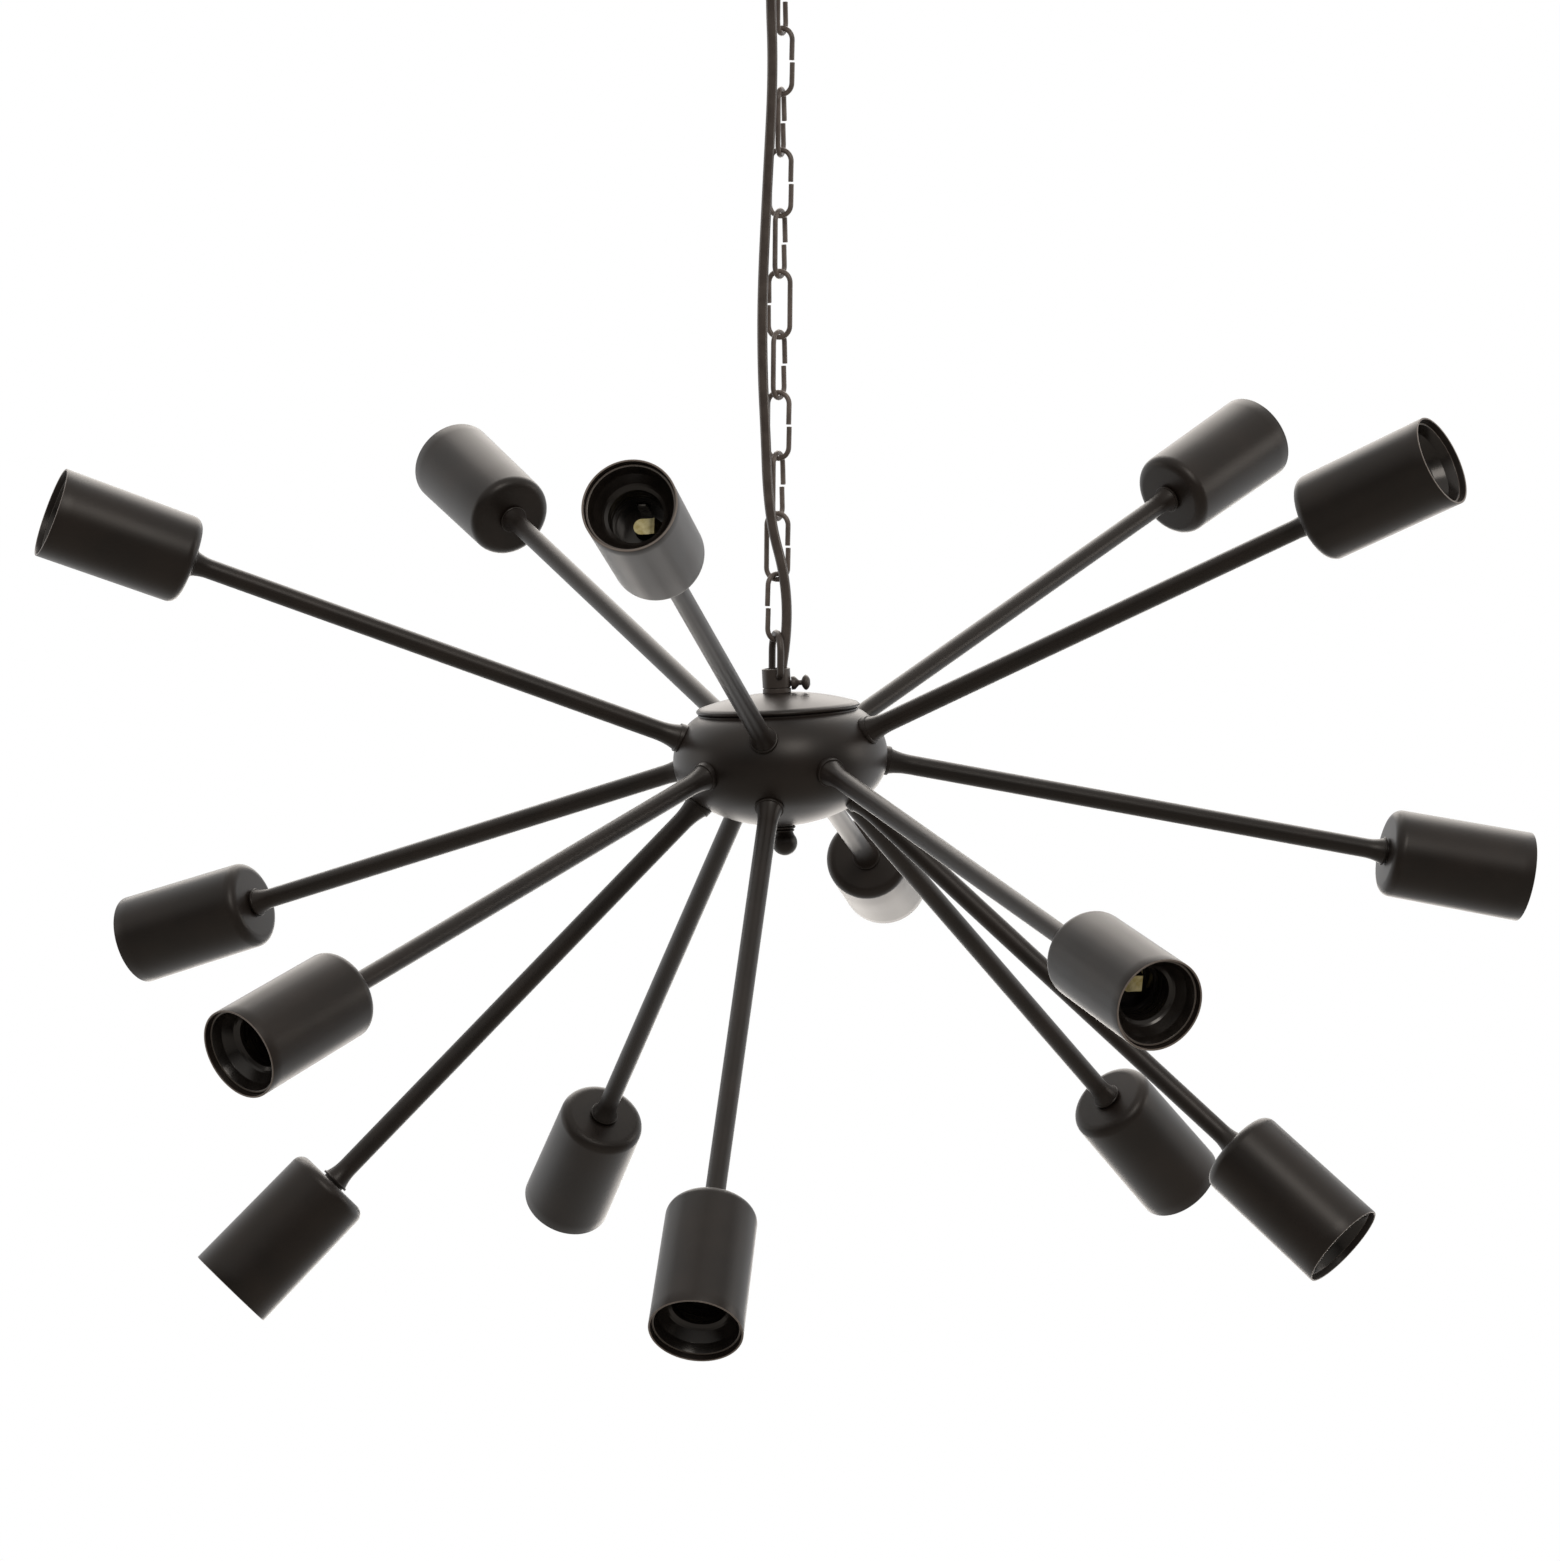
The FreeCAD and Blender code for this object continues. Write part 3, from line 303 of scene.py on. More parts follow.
# ---- chain ----------------------------------------------------------------------------------------
# Open links bent from 2.6 mm round steel wire and dipped in a thin black lacquer.  Each is cut off
# square, and its two ends nearly meet, a touch out of line, in the middle of one long side.
LINK_WIRE = 2.6
LINK_WIDTH = 14.4
LINK_SLIT = 1.0
LINK_SLIP = 0.35                           # how far the cut ends stand out of line
LINK_BEVEL = 0.15                          # length of the bevel at a cut end
LINK_END_SHARE = 0.86                      # of the wire's radius, at the cut face
LINK_TURNS = (70, -25, 76, -25, 66, 155, 62, -25, 66, -25, 220)    # degrees about the chain's line
SIDE_STEPS = 5                             # points on each half of the slit side
BEND_STEPS = 20                            # points round each end
LACQUER_PATCH = 6.0
LACQUER_GRAIN = 1.2                        # drawn coarser than the real one, so that it shows
LACQUER_GRAIN_DEPTH = 0.008


def dipped_lacquer():
    """Thin black lacquer on wire: half matt; the warm grey of its base colour is painted highlight, for the
    light it catches.
    """
    material, tree, shader = new_material("dipped_black_wire", IOR=1.5)
    place = add_node(tree, "ShaderNodeTexCoord").outputs["Object"]
    patches = add_node(
        tree, "ShaderNodeTexNoise", {"Scale": 1 / (LACQUER_PATCH * MM), "Detail": 3.0}, {"Vector": place}
    ).outputs["Fac"]
    # Painted highlight: the black lacquer is given a warm grey base colour.
    shades = add_node(
        tree, "ShaderNodeValToRGB", (), {"Fac": patches}, stops=((0.35, "#6a625e"), (0.65, "#7f7671"))
    )
    shine = add_node(tree, "ShaderNodeMapRange", {"To Min": 0.3, "To Max": 0.42}, {"Value": patches})
    grain = add_node(
        tree, "ShaderNodeTexNoise", {"Scale": 1 / (LACQUER_GRAIN * MM), "Detail": 2.0}, {"Vector": place}
    )
    bumps = add_node(
        tree, "ShaderNodeBump", {"Strength": 0.3, "Distance": LACQUER_GRAIN_DEPTH * MM},
        {"Height": grain.outputs["Fac"]},
    )
    tree.links.new(shades.outputs["Color"], shader.inputs["Base Color"])
    tree.links.new(shine.outputs["Result"], shader.inputs["Roughness"])
    tree.links.new(bumps.outputs["Normal"], shader.inputs["Normal"])
    return material


def link_line(top, low):
    """Middle line of a link that hangs in the XZ plane, from one cut end round to the other."""
    half = (LINK_WIDTH - LINK_WIRE) / 2
    middle = (top + low) / 2
    line = []
    for i in range(SIDE_STEPS):
        share = i / SIDE_STEPS
        line.append((half, LINK_SLIP * (1 - share), middle - LINK_SLIT / 2 + (low + half - middle) * share))
    for i in range(BEND_STEPS + 1):
        a = math.pi * i / BEND_STEPS
        line.append((half * math.cos(a), 0, low + half - half * math.sin(a)))
    for i in range(BEND_STEPS + 1):
        a = math.pi * i / BEND_STEPS
        line.append((-half * math.cos(a), 0, top - half + half * math.sin(a)))
    for i in range(SIDE_STEPS - 1, -1, -1):
        share = i / SIDE_STEPS
        line.append((half, -LINK_SLIP * (1 - share), middle + LINK_SLIT / 2 + (top - half - middle) * share))
    return [Vector(p) * MM for p in line]


lacquer = dipped_lacquer()
wire = LINK_WIRE / 2 * MM
bevel = LINK_BEVEL * MM
link_nodes = sorted(n for n in frame["nodes"] if n.startswith("chain_link_"))
for number, node in enumerate(link_nodes, 1):
    low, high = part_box(node)
    spin = Matrix.Rotation(math.radians(LINK_TURNS[number - 1]), 4, "Z")
    line = [spin @ p for p in link_line(high.z / MM - LINK_WIRE / 2, low.z / MM + LINK_WIRE / 2)]
    line.insert(1, line[0] + (line[1] - line[0]).normalized() * bevel)
    line.insert(-1, line[-1] + (line[-2] - line[-1]).normalized() * bevel)
    radii = [wire * LINK_END_SHARE] + [wire] * (len(line) - 2) + [wire * LINK_END_SHARE]
    piece = link_up("bent_link_%02d" % number, wire_mesh(node, line, radii, 20), lacquer)
    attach(piece, "link_%02d" % number)
    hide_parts(node)

# ---- hub bowl and lid -----------------------------------------------------------------------------
# The bowl is spun from sheet steel: a wide, nearly flat bottom, a round side, and a small lip at the
# mouth.  The lid is a shallow pressed dome whose rolled edge covers the mouth.  They share one satin
# black powder coat with the arms and the cups.
HUB_RADIUS = 54.3
HUB_DROP = 34.5
HUB_SIDE_ARC = 26.0
HUB_MOUTH_Z = 24.0
HUB_WALL = 1.6
HUB_HOLE = 5.2
BOWL_STEPS = 30
LIP_RADIUS = 40.6                          # the lip turns up close under the lid, so only a thin line of
LIP_GAP = 0.25                             # shadow shows between them
LIP_ROUND = 0.3
LID_RADIUS = 41.4
LID_EDGE = 2.2                             # height of the rolled edge
LID_EDGE_TUCK = 0.6                        # how far the rolled edge turns in under itself
LID_RISE = 6.9
LID_WALL = 1.5
LID_LIP = 3.0                              # ring that reaches down into the bowl's mouth
LID_LIP_GAP = 0.2
LID_STEPS = 16
LID_INNER_RADII = (24.0, 16.0)             # where the dome's hidden side gets a point
HUB_SIDES = 128
COLLAR_RADIUS = 7.15
POWDER_PATCH = 30.0                        # mm across a patch of one film thickness
POWDER_PEEL = 0.9                          # mm from bump to bump
POWDER_PEEL_DEPTH = 0.008


def powder_coat(name, dark, light):
    """Epoxy-polyester powder, sprayed and baked: a warm satin black with a fine orange peel.  The shade
    drifts with the film's thickness, and edges marked for it get a grey painted highlight."""
    material, tree, shader = new_material(name, IOR=1.5)
    place = add_node(tree, "ShaderNodeTexCoord").outputs["Object"]
    patches = add_node(
        tree, "ShaderNodeTexNoise", {"Scale": 1 / (POWDER_PATCH * MM), "Detail": 3.0}, {"Vector": place}
    ).outputs["Fac"]
    shades = add_node(tree, "ShaderNodeValToRGB", (), {"Fac": patches}, stops=((0.35, dark), (0.65, light)))
    # The marked edge points get a grey painted highlight over the coat's own shade.
    highlight_mask = add_node(tree, "ShaderNodeAttribute", {"attribute_name": "thin_edge"})
    highlighted = add_node(
        tree, "ShaderNodeMixRGB", {"Color2": linear("#847b75")},
        {"Fac": highlight_mask.outputs["Fac"], "Color1": shades.outputs["Color"]},
    )
    shine = add_node(tree, "ShaderNodeMapRange", {"To Min": 0.34, "To Max": 0.42}, {"Value": patches})
    peel = add_node(
        tree, "ShaderNodeTexNoise", {"Scale": 1 / (POWDER_PEEL * MM), "Detail": 2.0}, {"Vector": place}
    )
    bumps = add_node(
        tree, "ShaderNodeBump", {"Strength": 0.5, "Distance": POWDER_PEEL_DEPTH * MM},
        {"Height": peel.outputs["Fac"]},
    )
    tree.links.new(highlighted.outputs["Color"], shader.inputs["Base Color"])
    tree.links.new(shine.outputs["Result"], shader.inputs["Roughness"])
    tree.links.new(bumps.outputs["Normal"], shader.inputs["Normal"])
    return material


def turned_mesh(name, outline, sides=72, sharp=32.0):
    """A turned piece: (radius, height) points in millimetres, spun once round the Z axis."""
    points, faces, rows = [], [], []
    for radius, height in outline:
        if radius < 1e-6:
            rows.append([len(points)] * sides)
            points.append((0, 0, height * MM))
            continue
        rows.append(list(range(len(points), len(points) + sides)))
        for k in range(sides):
            a = 2 * math.pi * k / sides
            points.append((radius * MM * math.cos(a), radius * MM * math.sin(a), height * MM))
    for upper, lower in zip(rows, rows[1:]):
        for k in range(sides):
            n = (k + 1) % sides
            corners = [upper[k], lower[k], lower[n], upper[n]]
            face = [c for i, c in enumerate(corners) if c not in corners[:i]]
            if len(face) > 2:
                faces.append(tuple(face))
    return mesh_of(name, points, faces, sharp)


def arc_points(centre, radius, start, end, steps):
    """Points of an arc; angles in degrees from the radius direction."""
    angles = [math.radians(start + (end - start) * i / steps) for i in range(steps + 1)]
    return [(centre[0] + radius * math.cos(a), centre[1] + radius * math.sin(a)) for a in angles]


hub_axes = Matrix((hub_side, hub_up.cross(hub_side), hub_up)).transposed().to_4x4()
hub_frame = Matrix.Translation(hub_middle) @ hub_axes


def hub_piece(name, mesh, material, node, body="hub"):
    """A coated steel piece drawn about the hub's middle, hung with the hub in place of its CAD node."""
    mesh.transform(hub_frame)
    piece = link_up(name, mesh, material)
    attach(piece, body)
    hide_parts(node)


side_r = HUB_RADIUS - HUB_SIDE_ARC
below_side = HUB_DROP - HUB_SIDE_ARC
bottom_z = (side_r ** 2 - below_side ** 2) / (2 * below_side)


def bowl_outline(inset, top_z):
    """The bowl's side and bottom, this far inside its outer face, from a height down to the hole."""
    side = HUB_SIDE_ARC - inset
    bottom = HUB_DROP + bottom_z - inset
    mouth = math.degrees(math.asin(top_z / side))
    join = -math.degrees(math.atan2(bottom_z, side_r))
    hole = -math.degrees(math.acos(HUB_HOLE / bottom))
    outline = arc_points((side_r, 0), side, mouth, join, BOWL_STEPS)
    return outline + arc_points((0, bottom_z), bottom, join, hole, BOWL_STEPS)[1:]


def dome(radius, drop=0.0):
    """Height of the lid's dome at a radius, or of its hidden side, this far under it."""
    return lid_apex - drop - lid_sphere + math.sqrt(lid_sphere ** 2 - radius ** 2)


coat = powder_coat("baked_satin_black_powder", "#1c1714", "#261f1b")
lip_z = math.sqrt(HUB_SIDE_ARC ** 2 - (LIP_RADIUS - side_r) ** 2)
lip_top = HUB_MOUTH_Z - LIP_GAP
seat_r = side_r + math.sqrt(HUB_SIDE_ARC ** 2 - HUB_MOUTH_Z ** 2)
bowl = [(seat_r, HUB_MOUTH_Z), (seat_r + LIP_ROUND, lip_top)]
bowl += [(LIP_RADIUS - LIP_ROUND, lip_top), (LIP_RADIUS, lip_top - LIP_ROUND)]
bowl += bowl_outline(0.0, lip_z) + list(reversed(bowl_outline(HUB_WALL, HUB_MOUTH_Z)))
bowl.append(bowl[0])
hub_piece("spun_bowl", turned_mesh("spun_bowl", bowl, HUB_SIDES), coat, "hub_shell")

lid_sphere = (LID_RADIUS ** 2 + LID_RISE ** 2) / (2 * LID_RISE)
lid_apex = HUB_MOUTH_Z + LID_EDGE + LID_RISE
lid_seat = dome(COLLAR_RADIUS)
lid_lip = side_r + math.sqrt((HUB_SIDE_ARC - HUB_WALL) ** 2 - HUB_MOUTH_Z ** 2) - LID_LIP_GAP
lid_lip_in = lid_lip - LID_WALL
edge_round = LID_EDGE / 2
edge_r = LID_RADIUS - edge_round
lid = [(HUB_HOLE, lid_seat), (COLLAR_RADIUS, lid_seat)]
for i in range(1, LID_STEPS + 1):
    radius = COLLAR_RADIUS + (edge_r - COLLAR_RADIUS) * i / LID_STEPS
    lid.append((radius, dome(radius)))
lid += arc_points((edge_r, HUB_MOUTH_Z + edge_round), edge_round, 70, -75, 8)
lid += [(edge_r - LID_EDGE_TUCK, HUB_MOUTH_Z), (lid_lip, HUB_MOUTH_Z), (lid_lip, HUB_MOUTH_Z - LID_LIP)]
lid += [(lid_lip_in, HUB_MOUTH_Z - LID_LIP), (lid_lip_in, dome(lid_lip_in, LID_WALL))]
lid += [(radius, dome(radius, LID_WALL)) for radius in LID_INNER_RADII + (HUB_HOLE,)]
lid.append(lid[0])
hub_piece("domed_lid", turned_mesh("domed_lid", lid, HUB_SIDES), coat, "hub_lid")

# ---- finial ---------------------------------------------------------------------------------------
# Small end piece under the bowl, turned from steel rod: two rings and a ball.  A stud on it screws up
# into the stem and holds the bowl.
FINIAL_NECK_RADIUS = 5.5
FINIAL_THROAT_SHARE = 0.86                 # the throat between rings and ball, of the neck's radius
FINIAL_NECK = 3.6
FINIAL_BALL = 6.4
FINIAL_BALL_SET = 0.82                     # of the ball's radius, from the neck down to its middle
FINIAL_STUD = 10.0
STUD_RADIUS = 3.9
RING_ROUND = 0.85                          # the upper ring; its middle lies in from the neck, and down
RING_INSET = 0.5
RING_DROP = 0.8
GROOVE_DROP = 1.85
BEAD_ROUND = 0.6                           # the lower, smaller ring
BEAD_INSET = 0.1
BEAD_DROP = 2.5
WAIST_SHARE = 0.93                         # the narrowest place, just over the ball
WAIST_DROP = 3.2
throat = FINIAL_NECK_RADIUS * FINIAL_THROAT_SHARE
ball_z = -HUB_DROP - FINIAL_NECK - FINIAL_BALL * FINIAL_BALL_SET
top = -HUB_DROP
start = math.degrees(math.asin(math.sqrt(FINIAL_BALL ** 2 - throat ** 2) / FINIAL_BALL))
finial = [(0, top + FINIAL_STUD), (STUD_RADIUS, top + FINIAL_STUD), (STUD_RADIUS, top)]
finial += arc_points((FINIAL_NECK_RADIUS - RING_INSET, top - RING_DROP), RING_ROUND, 80, -80, 8)
finial += [(throat, top - GROOVE_DROP)]
finial += arc_points((throat - BEAD_INSET, top - BEAD_DROP), BEAD_ROUND, 75, -75, 6)
finial += [(throat * WAIST_SHARE, top - WAIST_DROP)]
finial += arc_points((0, ball_z), FINIAL_BALL, start, -90, 24)[1:]
hub_piece("turned_finial", turned_mesh("turned_finial", finial, 64), coat, "finial")

# ---- bail, collar and thumb screw -----------------------------------------------------------------
# The cable goes down into a turned steel collar on the lid.  A bail of 3.6 mm wire straddles it, its
# ends turned in as pins, and a cast thumb screw through the side grips the cable.  They carry a
# thinner, greyer coat of the powder than the hub.
COLLAR_HEIGHT = 12.4
COLLAR_BORE = 5.9
COLLAR_BAND = 2.3
COLLAR_EDGE = 0.25
COLLAR_BORE_EDGE = 0.1
COLLAR_MOUTH_EDGE = 0.5
COLLAR_MOUTH_BORE_EDGE = 0.4
GROOVE = 0.5                               # square groove over the band
GROOVE_EDGE = 0.05
STEM_RADIUS = 5.0
SCREW_RISE = 4.6
SCREW_TIP = 4.5
SCREW_TIP_RADIUS = 0.8
SCREW_SHANK = 1.5
SCREW_FLANGE = 3.4
SCREW_FLANGE_THICK = 1.9
SCREW_FLANGE_TAPER = 2.0
SCREW_NECK = 1.3
SCREW_NECK_END = 5.2                       # from the seat to the head
SCREW_HEAD_RADIUS = 3.9
SCREW_HEAD_THICK = 4.4
SCREW_HEAD_FULLNESS = 0.8                  # under 1 rounds the head out fuller than half a sine wave
SCREW_HEAD_STEPS = 14
SEAT_GAP = 0.25
BAIL_WIRE = 3.6
BAIL_SIDE_GAP = 0.35
BAIL_ELBOW = 2.6
BAIL_ELBOW_LEAD = 0.2                      # straight wire before the elbow
PIN_REACH = 0.9
PIN_BEVEL = 0.3
PIN_END_SHARE = 0.85                       # of the wire's radius, at the pin's end face


def rounded(corners, steps=5):
    """An outline from (radius, height, rounding) corners; each rounding becomes a small arc."""
    points = []
    for i, (r, z, fillet) in enumerate(corners):
        at = Vector((r, z))
        if fillet <= 0 or i in (0, len(corners) - 1):
            points.append((r, z))
            continue
        back = Vector(corners[i - 1][:2]) - at
        on = Vector(corners[i + 1][:2]) - at
        turn_by = math.pi - back.angle(on)
        cut = min(fillet * math.tan(turn_by / 2), 0.49 * back.length, 0.49 * on.length)
        start, end = at + back.normalized() * cut, at + on.normalized() * cut
        for s in range(steps + 1):
            t = s / steps
            p = start.lerp(at, t).lerp(at.lerp(end, t), t)
            points.append((p.x, p.y))
    return points


fitting_coat = powder_coat("thin_black_powder_on_fittings", "#47413e", "#564f4b")
foot, crown = lid_seat, lid_seat + COLLAR_HEIGHT
groove_r = COLLAR_RADIUS - GROOVE
band = foot + COLLAR_BAND
collar = rounded([
    (STEM_RADIUS, foot, 0), (COLLAR_RADIUS, foot, COLLAR_EDGE), (COLLAR_RADIUS, band, COLLAR_EDGE),
    (groove_r, band, GROOVE_EDGE), (groove_r, band + GROOVE, GROOVE_EDGE),
    (COLLAR_RADIUS, band + GROOVE, COLLAR_EDGE), (COLLAR_RADIUS, crown, COLLAR_MOUTH_EDGE),
    (COLLAR_BORE, crown, COLLAR_MOUTH_BORE_EDGE), (COLLAR_BORE, band, COLLAR_BORE_EDGE),
    (STEM_RADIUS, band, COLLAR_BORE_EDGE), (STEM_RADIUS, foot, 0),
])
hub_piece("grip_collar", turned_mesh("grip_collar", collar, 64), fitting_coat, "hub_collar")

seat = COLLAR_RADIUS + SEAT_GAP
neck_end = seat + SCREW_NECK_END
head_end = neck_end + SCREW_HEAD_THICK
flange_end = seat + SCREW_FLANGE_THICK
screw = [(0, SCREW_TIP)] + rounded([
    (SCREW_TIP_RADIUS, SCREW_TIP, 0), (SCREW_SHANK, SCREW_TIP, 0.3), (SCREW_SHANK, seat, 0),
    (SCREW_FLANGE, seat, 0.3), (SCREW_FLANGE, flange_end, 1.2),
    (SCREW_NECK, flange_end + SCREW_FLANGE_TAPER, 0.8), (SCREW_NECK, neck_end, 0),
])
for i in range(1, SCREW_HEAD_STEPS):
    swell = math.sin(math.pi * i / SCREW_HEAD_STEPS) ** SCREW_HEAD_FULLNESS
    height = neck_end + SCREW_HEAD_THICK * i / SCREW_HEAD_STEPS
    screw.append((SCREW_NECK + (SCREW_HEAD_RADIUS - SCREW_NECK) * swell, height))
screw += [(SCREW_NECK, head_end), (0, head_end)]
screw_mesh = turned_mesh("cast_thumb_screw", screw, 48)
screw_height = Matrix.Translation((0, 0, (foot + SCREW_RISE) * MM))
screw_mesh.transform(screw_height @ Matrix.Rotation(math.pi / 2, 4, "Y"))
hub_piece("cast_thumb_screw", screw_mesh, fitting_coat, "thumb_screw", body="thumb_screw")

bail_r = COLLAR_RADIUS + BAIL_SIDE_GAP + BAIL_WIRE / 2
bail_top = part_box("bail")[1].z / MM - BAIL_WIRE / 2
pin_z = pin_point.z / MM
pin_tip = COLLAR_BORE - PIN_REACH
elbow_r = bail_r - BAIL_ELBOW
half_line = [(pin_tip, pin_z), (pin_tip + PIN_BEVEL, pin_z), (elbow_r - BAIL_ELBOW_LEAD, pin_z)]
half_line += arc_points((elbow_r, pin_z + BAIL_ELBOW), BAIL_ELBOW, -90, 0, 8)
half_line += arc_points((0, bail_top - bail_r), bail_r, 0, 90, 16)
bail_line = half_line + [(-r, z) for r, z in reversed(half_line[:-1])]
spin = Matrix.Rotation(math.atan2(pin_axis.y, pin_axis.x), 4, "Z")
bail_line = [spin @ Vector((r * MM, 0, z * MM)) for r, z in bail_line]
wire = BAIL_WIRE / 2 * MM
radii = [wire * PIN_END_SHARE] + [wire] * (len(bail_line) - 2) + [wire * PIN_END_SHARE]
piece = link_up("bent_bail", wire_mesh("bent_bail", bail_line, radii, 28), fitting_coat)
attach(piece, "bail")
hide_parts("bail")

# ---- arms -----------------------------------------------------------------------------------------
# Fifteen steel tubes, 10 mm across.  The root of each is flared like a trumpet on a thin flange that
# sits on the bowl.  The far end widens a little too and ends in a thin ring, a short neck off the cup.
ARM_LENGTH = 265.0
ARM_RADIUS = 5.0
ARM_BORE = 3.2
ARM_THREAD_RADIUS = 4.2
ARM_TAIL = 12.0
ARM_NIPPLE = 13.0
THREAD_BEVEL = 0.4
FLARE_RADIUS = 7.4
FLARE_INSET = 0.8                          # the trumpet starts this far in from the flange's edge
FLARE_RIM = 1.8
FLARE_LENGTH = 13.0
FLARE_CURVE = 2.2                          # how sharply both flares open
FLANGE_BEVEL = 0.2
FLANGE_ROUND = ((0.0, 0.5), (0.12, 0.14), (0.45, 0.0))     # steps in and down, round its upper edge
FLANGE_SEAT = 0.3                          # height of the flange's underside that is laid on the bowl
OFF_THREAD = 0.05                          # this far out from the thread, whose own points stay
TRUMPET_STEPS = 14
SOCKET_STEPS = 10
TUBE_HEIGHTS = (60.0, 120.0, 190.0)        # where the plain tube gets a ring of points
END_RING_RADIUS = 7.3
END_RING_THICK = 1.2
END_RING_BEVEL = 0.25
SOCKET_NECK = 1.0
NECK_RADIUS = 5.8
SOCKET_RADIUS = 6.6
SOCKET_LENGTH = 9.0
SEATING_ROUNDS = 6                         # tries at laying a point on the bowl
# The lampholders' mounts are in the middle of their threads, so these sizes also give the arms' places.
CUP_LENGTH = 74.0
HOLDER_RECESS = 3.0
FUNNEL_DEPTH = 7.0
THREAD_CHAMFER = 1.0
THREAD_DEPTH = 17.0
thread_end = CUP_LENGTH - HOLDER_RECESS - FUNNEL_DEPTH - THREAD_CHAMFER - THREAD_DEPTH


def arm_frames():
    """Root, axis and turn of each arm, from the lampholder that it carries."""
    found = {}
    for mount in frame["record"]["mounts"]:
        if mount["kind"] != "threaded_hole":
            continue
        out = Vector(mount["axis"]).normalized()
        middle = (ARM_LENGTH + thread_end + THREAD_DEPTH / 2) * MM
        root = Vector(mount["pos_m"]) - out * middle
        across = hub_up.cross(out).normalized()
        down = across.cross(out)
        axes = Matrix((down, across, out)).transposed().to_4x4()
        found[mount["name"].replace("lamp_", "")] = Matrix.Translation(root) @ axes
    return found


def bowl_surface(point):
    """How far a point, in the hub's own millimetres, lies outside the bowl's outer face."""
    radius = math.hypot(point.x, point.y)
    on_side = math.hypot(radius - side_r, point.z) - HUB_SIDE_ARC
    away = math.atan2(point.z, radius - side_r)
    if radius > side_r and away > -math.atan2(bottom_z, side_r):
        return on_side
    return math.hypot(radius, point.z - bottom_z) - (HUB_DROP + bottom_z)


def arm_outline():
    """Flange and trumpet at the root, plain tube, then the small flare, ring and neck at the cup."""
    flare = FLARE_RADIUS - FLARE_INSET
    trumpet = []
    for i in range(TRUMPET_STEPS + 1):
        t = i / TRUMPET_STEPS
        opening = (flare - ARM_RADIUS) * (1 - t) ** FLARE_CURVE
        trumpet.append((ARM_RADIUS + opening, FLARE_RIM + (FLARE_LENGTH - FLARE_RIM) * t))
    neck_z = ARM_LENGTH - SOCKET_NECK
    ring_z = neck_z - END_RING_THICK
    socket = []
    for i in range(SOCKET_STEPS + 1):
        t = i / SOCKET_STEPS
        opening = (SOCKET_RADIUS - ARM_RADIUS) * t ** FLARE_CURVE
        socket.append((ARM_RADIUS + opening, ring_z - SOCKET_LENGTH * (1 - t)))
    tip_z = ARM_LENGTH + ARM_NIPPLE
    root = [
        (ARM_BORE, -ARM_TAIL), (ARM_THREAD_RADIUS - THREAD_BEVEL, -ARM_TAIL),
        (ARM_THREAD_RADIUS, -ARM_TAIL + THREAD_BEVEL), (ARM_THREAD_RADIUS, -FLARE_RIM),
        (FLARE_RADIUS - FLANGE_BEVEL, -FLARE_RIM), (FLARE_RADIUS, -FLARE_RIM + FLANGE_BEVEL),
    ]
    root += [(FLARE_RADIUS - inward, FLARE_RIM - down) for inward, down in FLANGE_ROUND]
    return root + trumpet + [(ARM_RADIUS, z) for z in TUBE_HEIGHTS] + socket + [
        (END_RING_RADIUS - END_RING_BEVEL, ring_z), (END_RING_RADIUS, ring_z + END_RING_BEVEL),
        (END_RING_RADIUS, neck_z - END_RING_BEVEL), (END_RING_RADIUS - END_RING_BEVEL, neck_z),
        (NECK_RADIUS, neck_z), (NECK_RADIUS, ARM_LENGTH), (ARM_THREAD_RADIUS, ARM_LENGTH),
        (ARM_THREAD_RADIUS, tip_z - THREAD_BEVEL), (ARM_THREAD_RADIUS - THREAD_BEVEL, tip_z),
        (ARM_BORE, tip_z), (ARM_BORE, -ARM_TAIL),
    ]


def seat_flange(mesh, place):
    """Lays the flange's underside on the round bowl, and lifts its outer edge by the bevel."""
    from_arm = to_hub @ place
    outward = from_arm.to_3x3() @ Vector((0, 0, 1))
    for vertex in mesh.vertices:
        radius = math.hypot(vertex.co.x, vertex.co.y) / MM
        if radius < ARM_THREAD_RADIUS + OFF_THREAD or vertex.co.z > (-FLARE_RIM + FLANGE_SEAT) * MM:
            continue
        point = (from_arm @ vertex.co) / MM
        for _ in range(SEATING_ROUNDS):
            point = point - outward * bowl_surface(point)
        vertex.co = from_arm.inverted() @ (point * MM)
        if radius > FLARE_RADIUS - FLANGE_BEVEL / 2:
            vertex.co.z += FLANGE_BEVEL * MM


arms = arm_frames()
to_hub = hub_frame.inverted()
for name, place in sorted(arms.items()):
    mesh = turned_mesh("tube_" + name, arm_outline(), 56)
    seat_flange(mesh, place)
    mesh.transform(place)
    piece = link_up("tube_" + name, mesh, coat)
    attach(piece, "hub")
    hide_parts("arm_" + name)

# ---- cups -----------------------------------------------------------------------------------------
# Cups drawn from 1 mm sheet steel, a little wider at the mouth, with a round back corner.  The mouth
# is cut square, and a fine pale line of painted highlight runs along its edge.
CUP_MOUTH_RADIUS = 23.0
CUP_BACK_RADIUS = 22.3
CUP_CORNER = 5.5
CUP_WALL = 1.0
CUP_HOLE = 4.4
CUP_HEIGHTS = (0.3, 0.6, 0.9)              # shares of the wall's length that get a ring of points
CUP_EDGE = ((0.0, 0.3), (0.08, 0.1), (0.25, 0.0))          # steps in and down, round the cut edge
HIGHLIGHT_BELOW, HIGHLIGHT_ABOVE = 0.15, 0.1         # from the cup's end, the band that gets the painted highlight
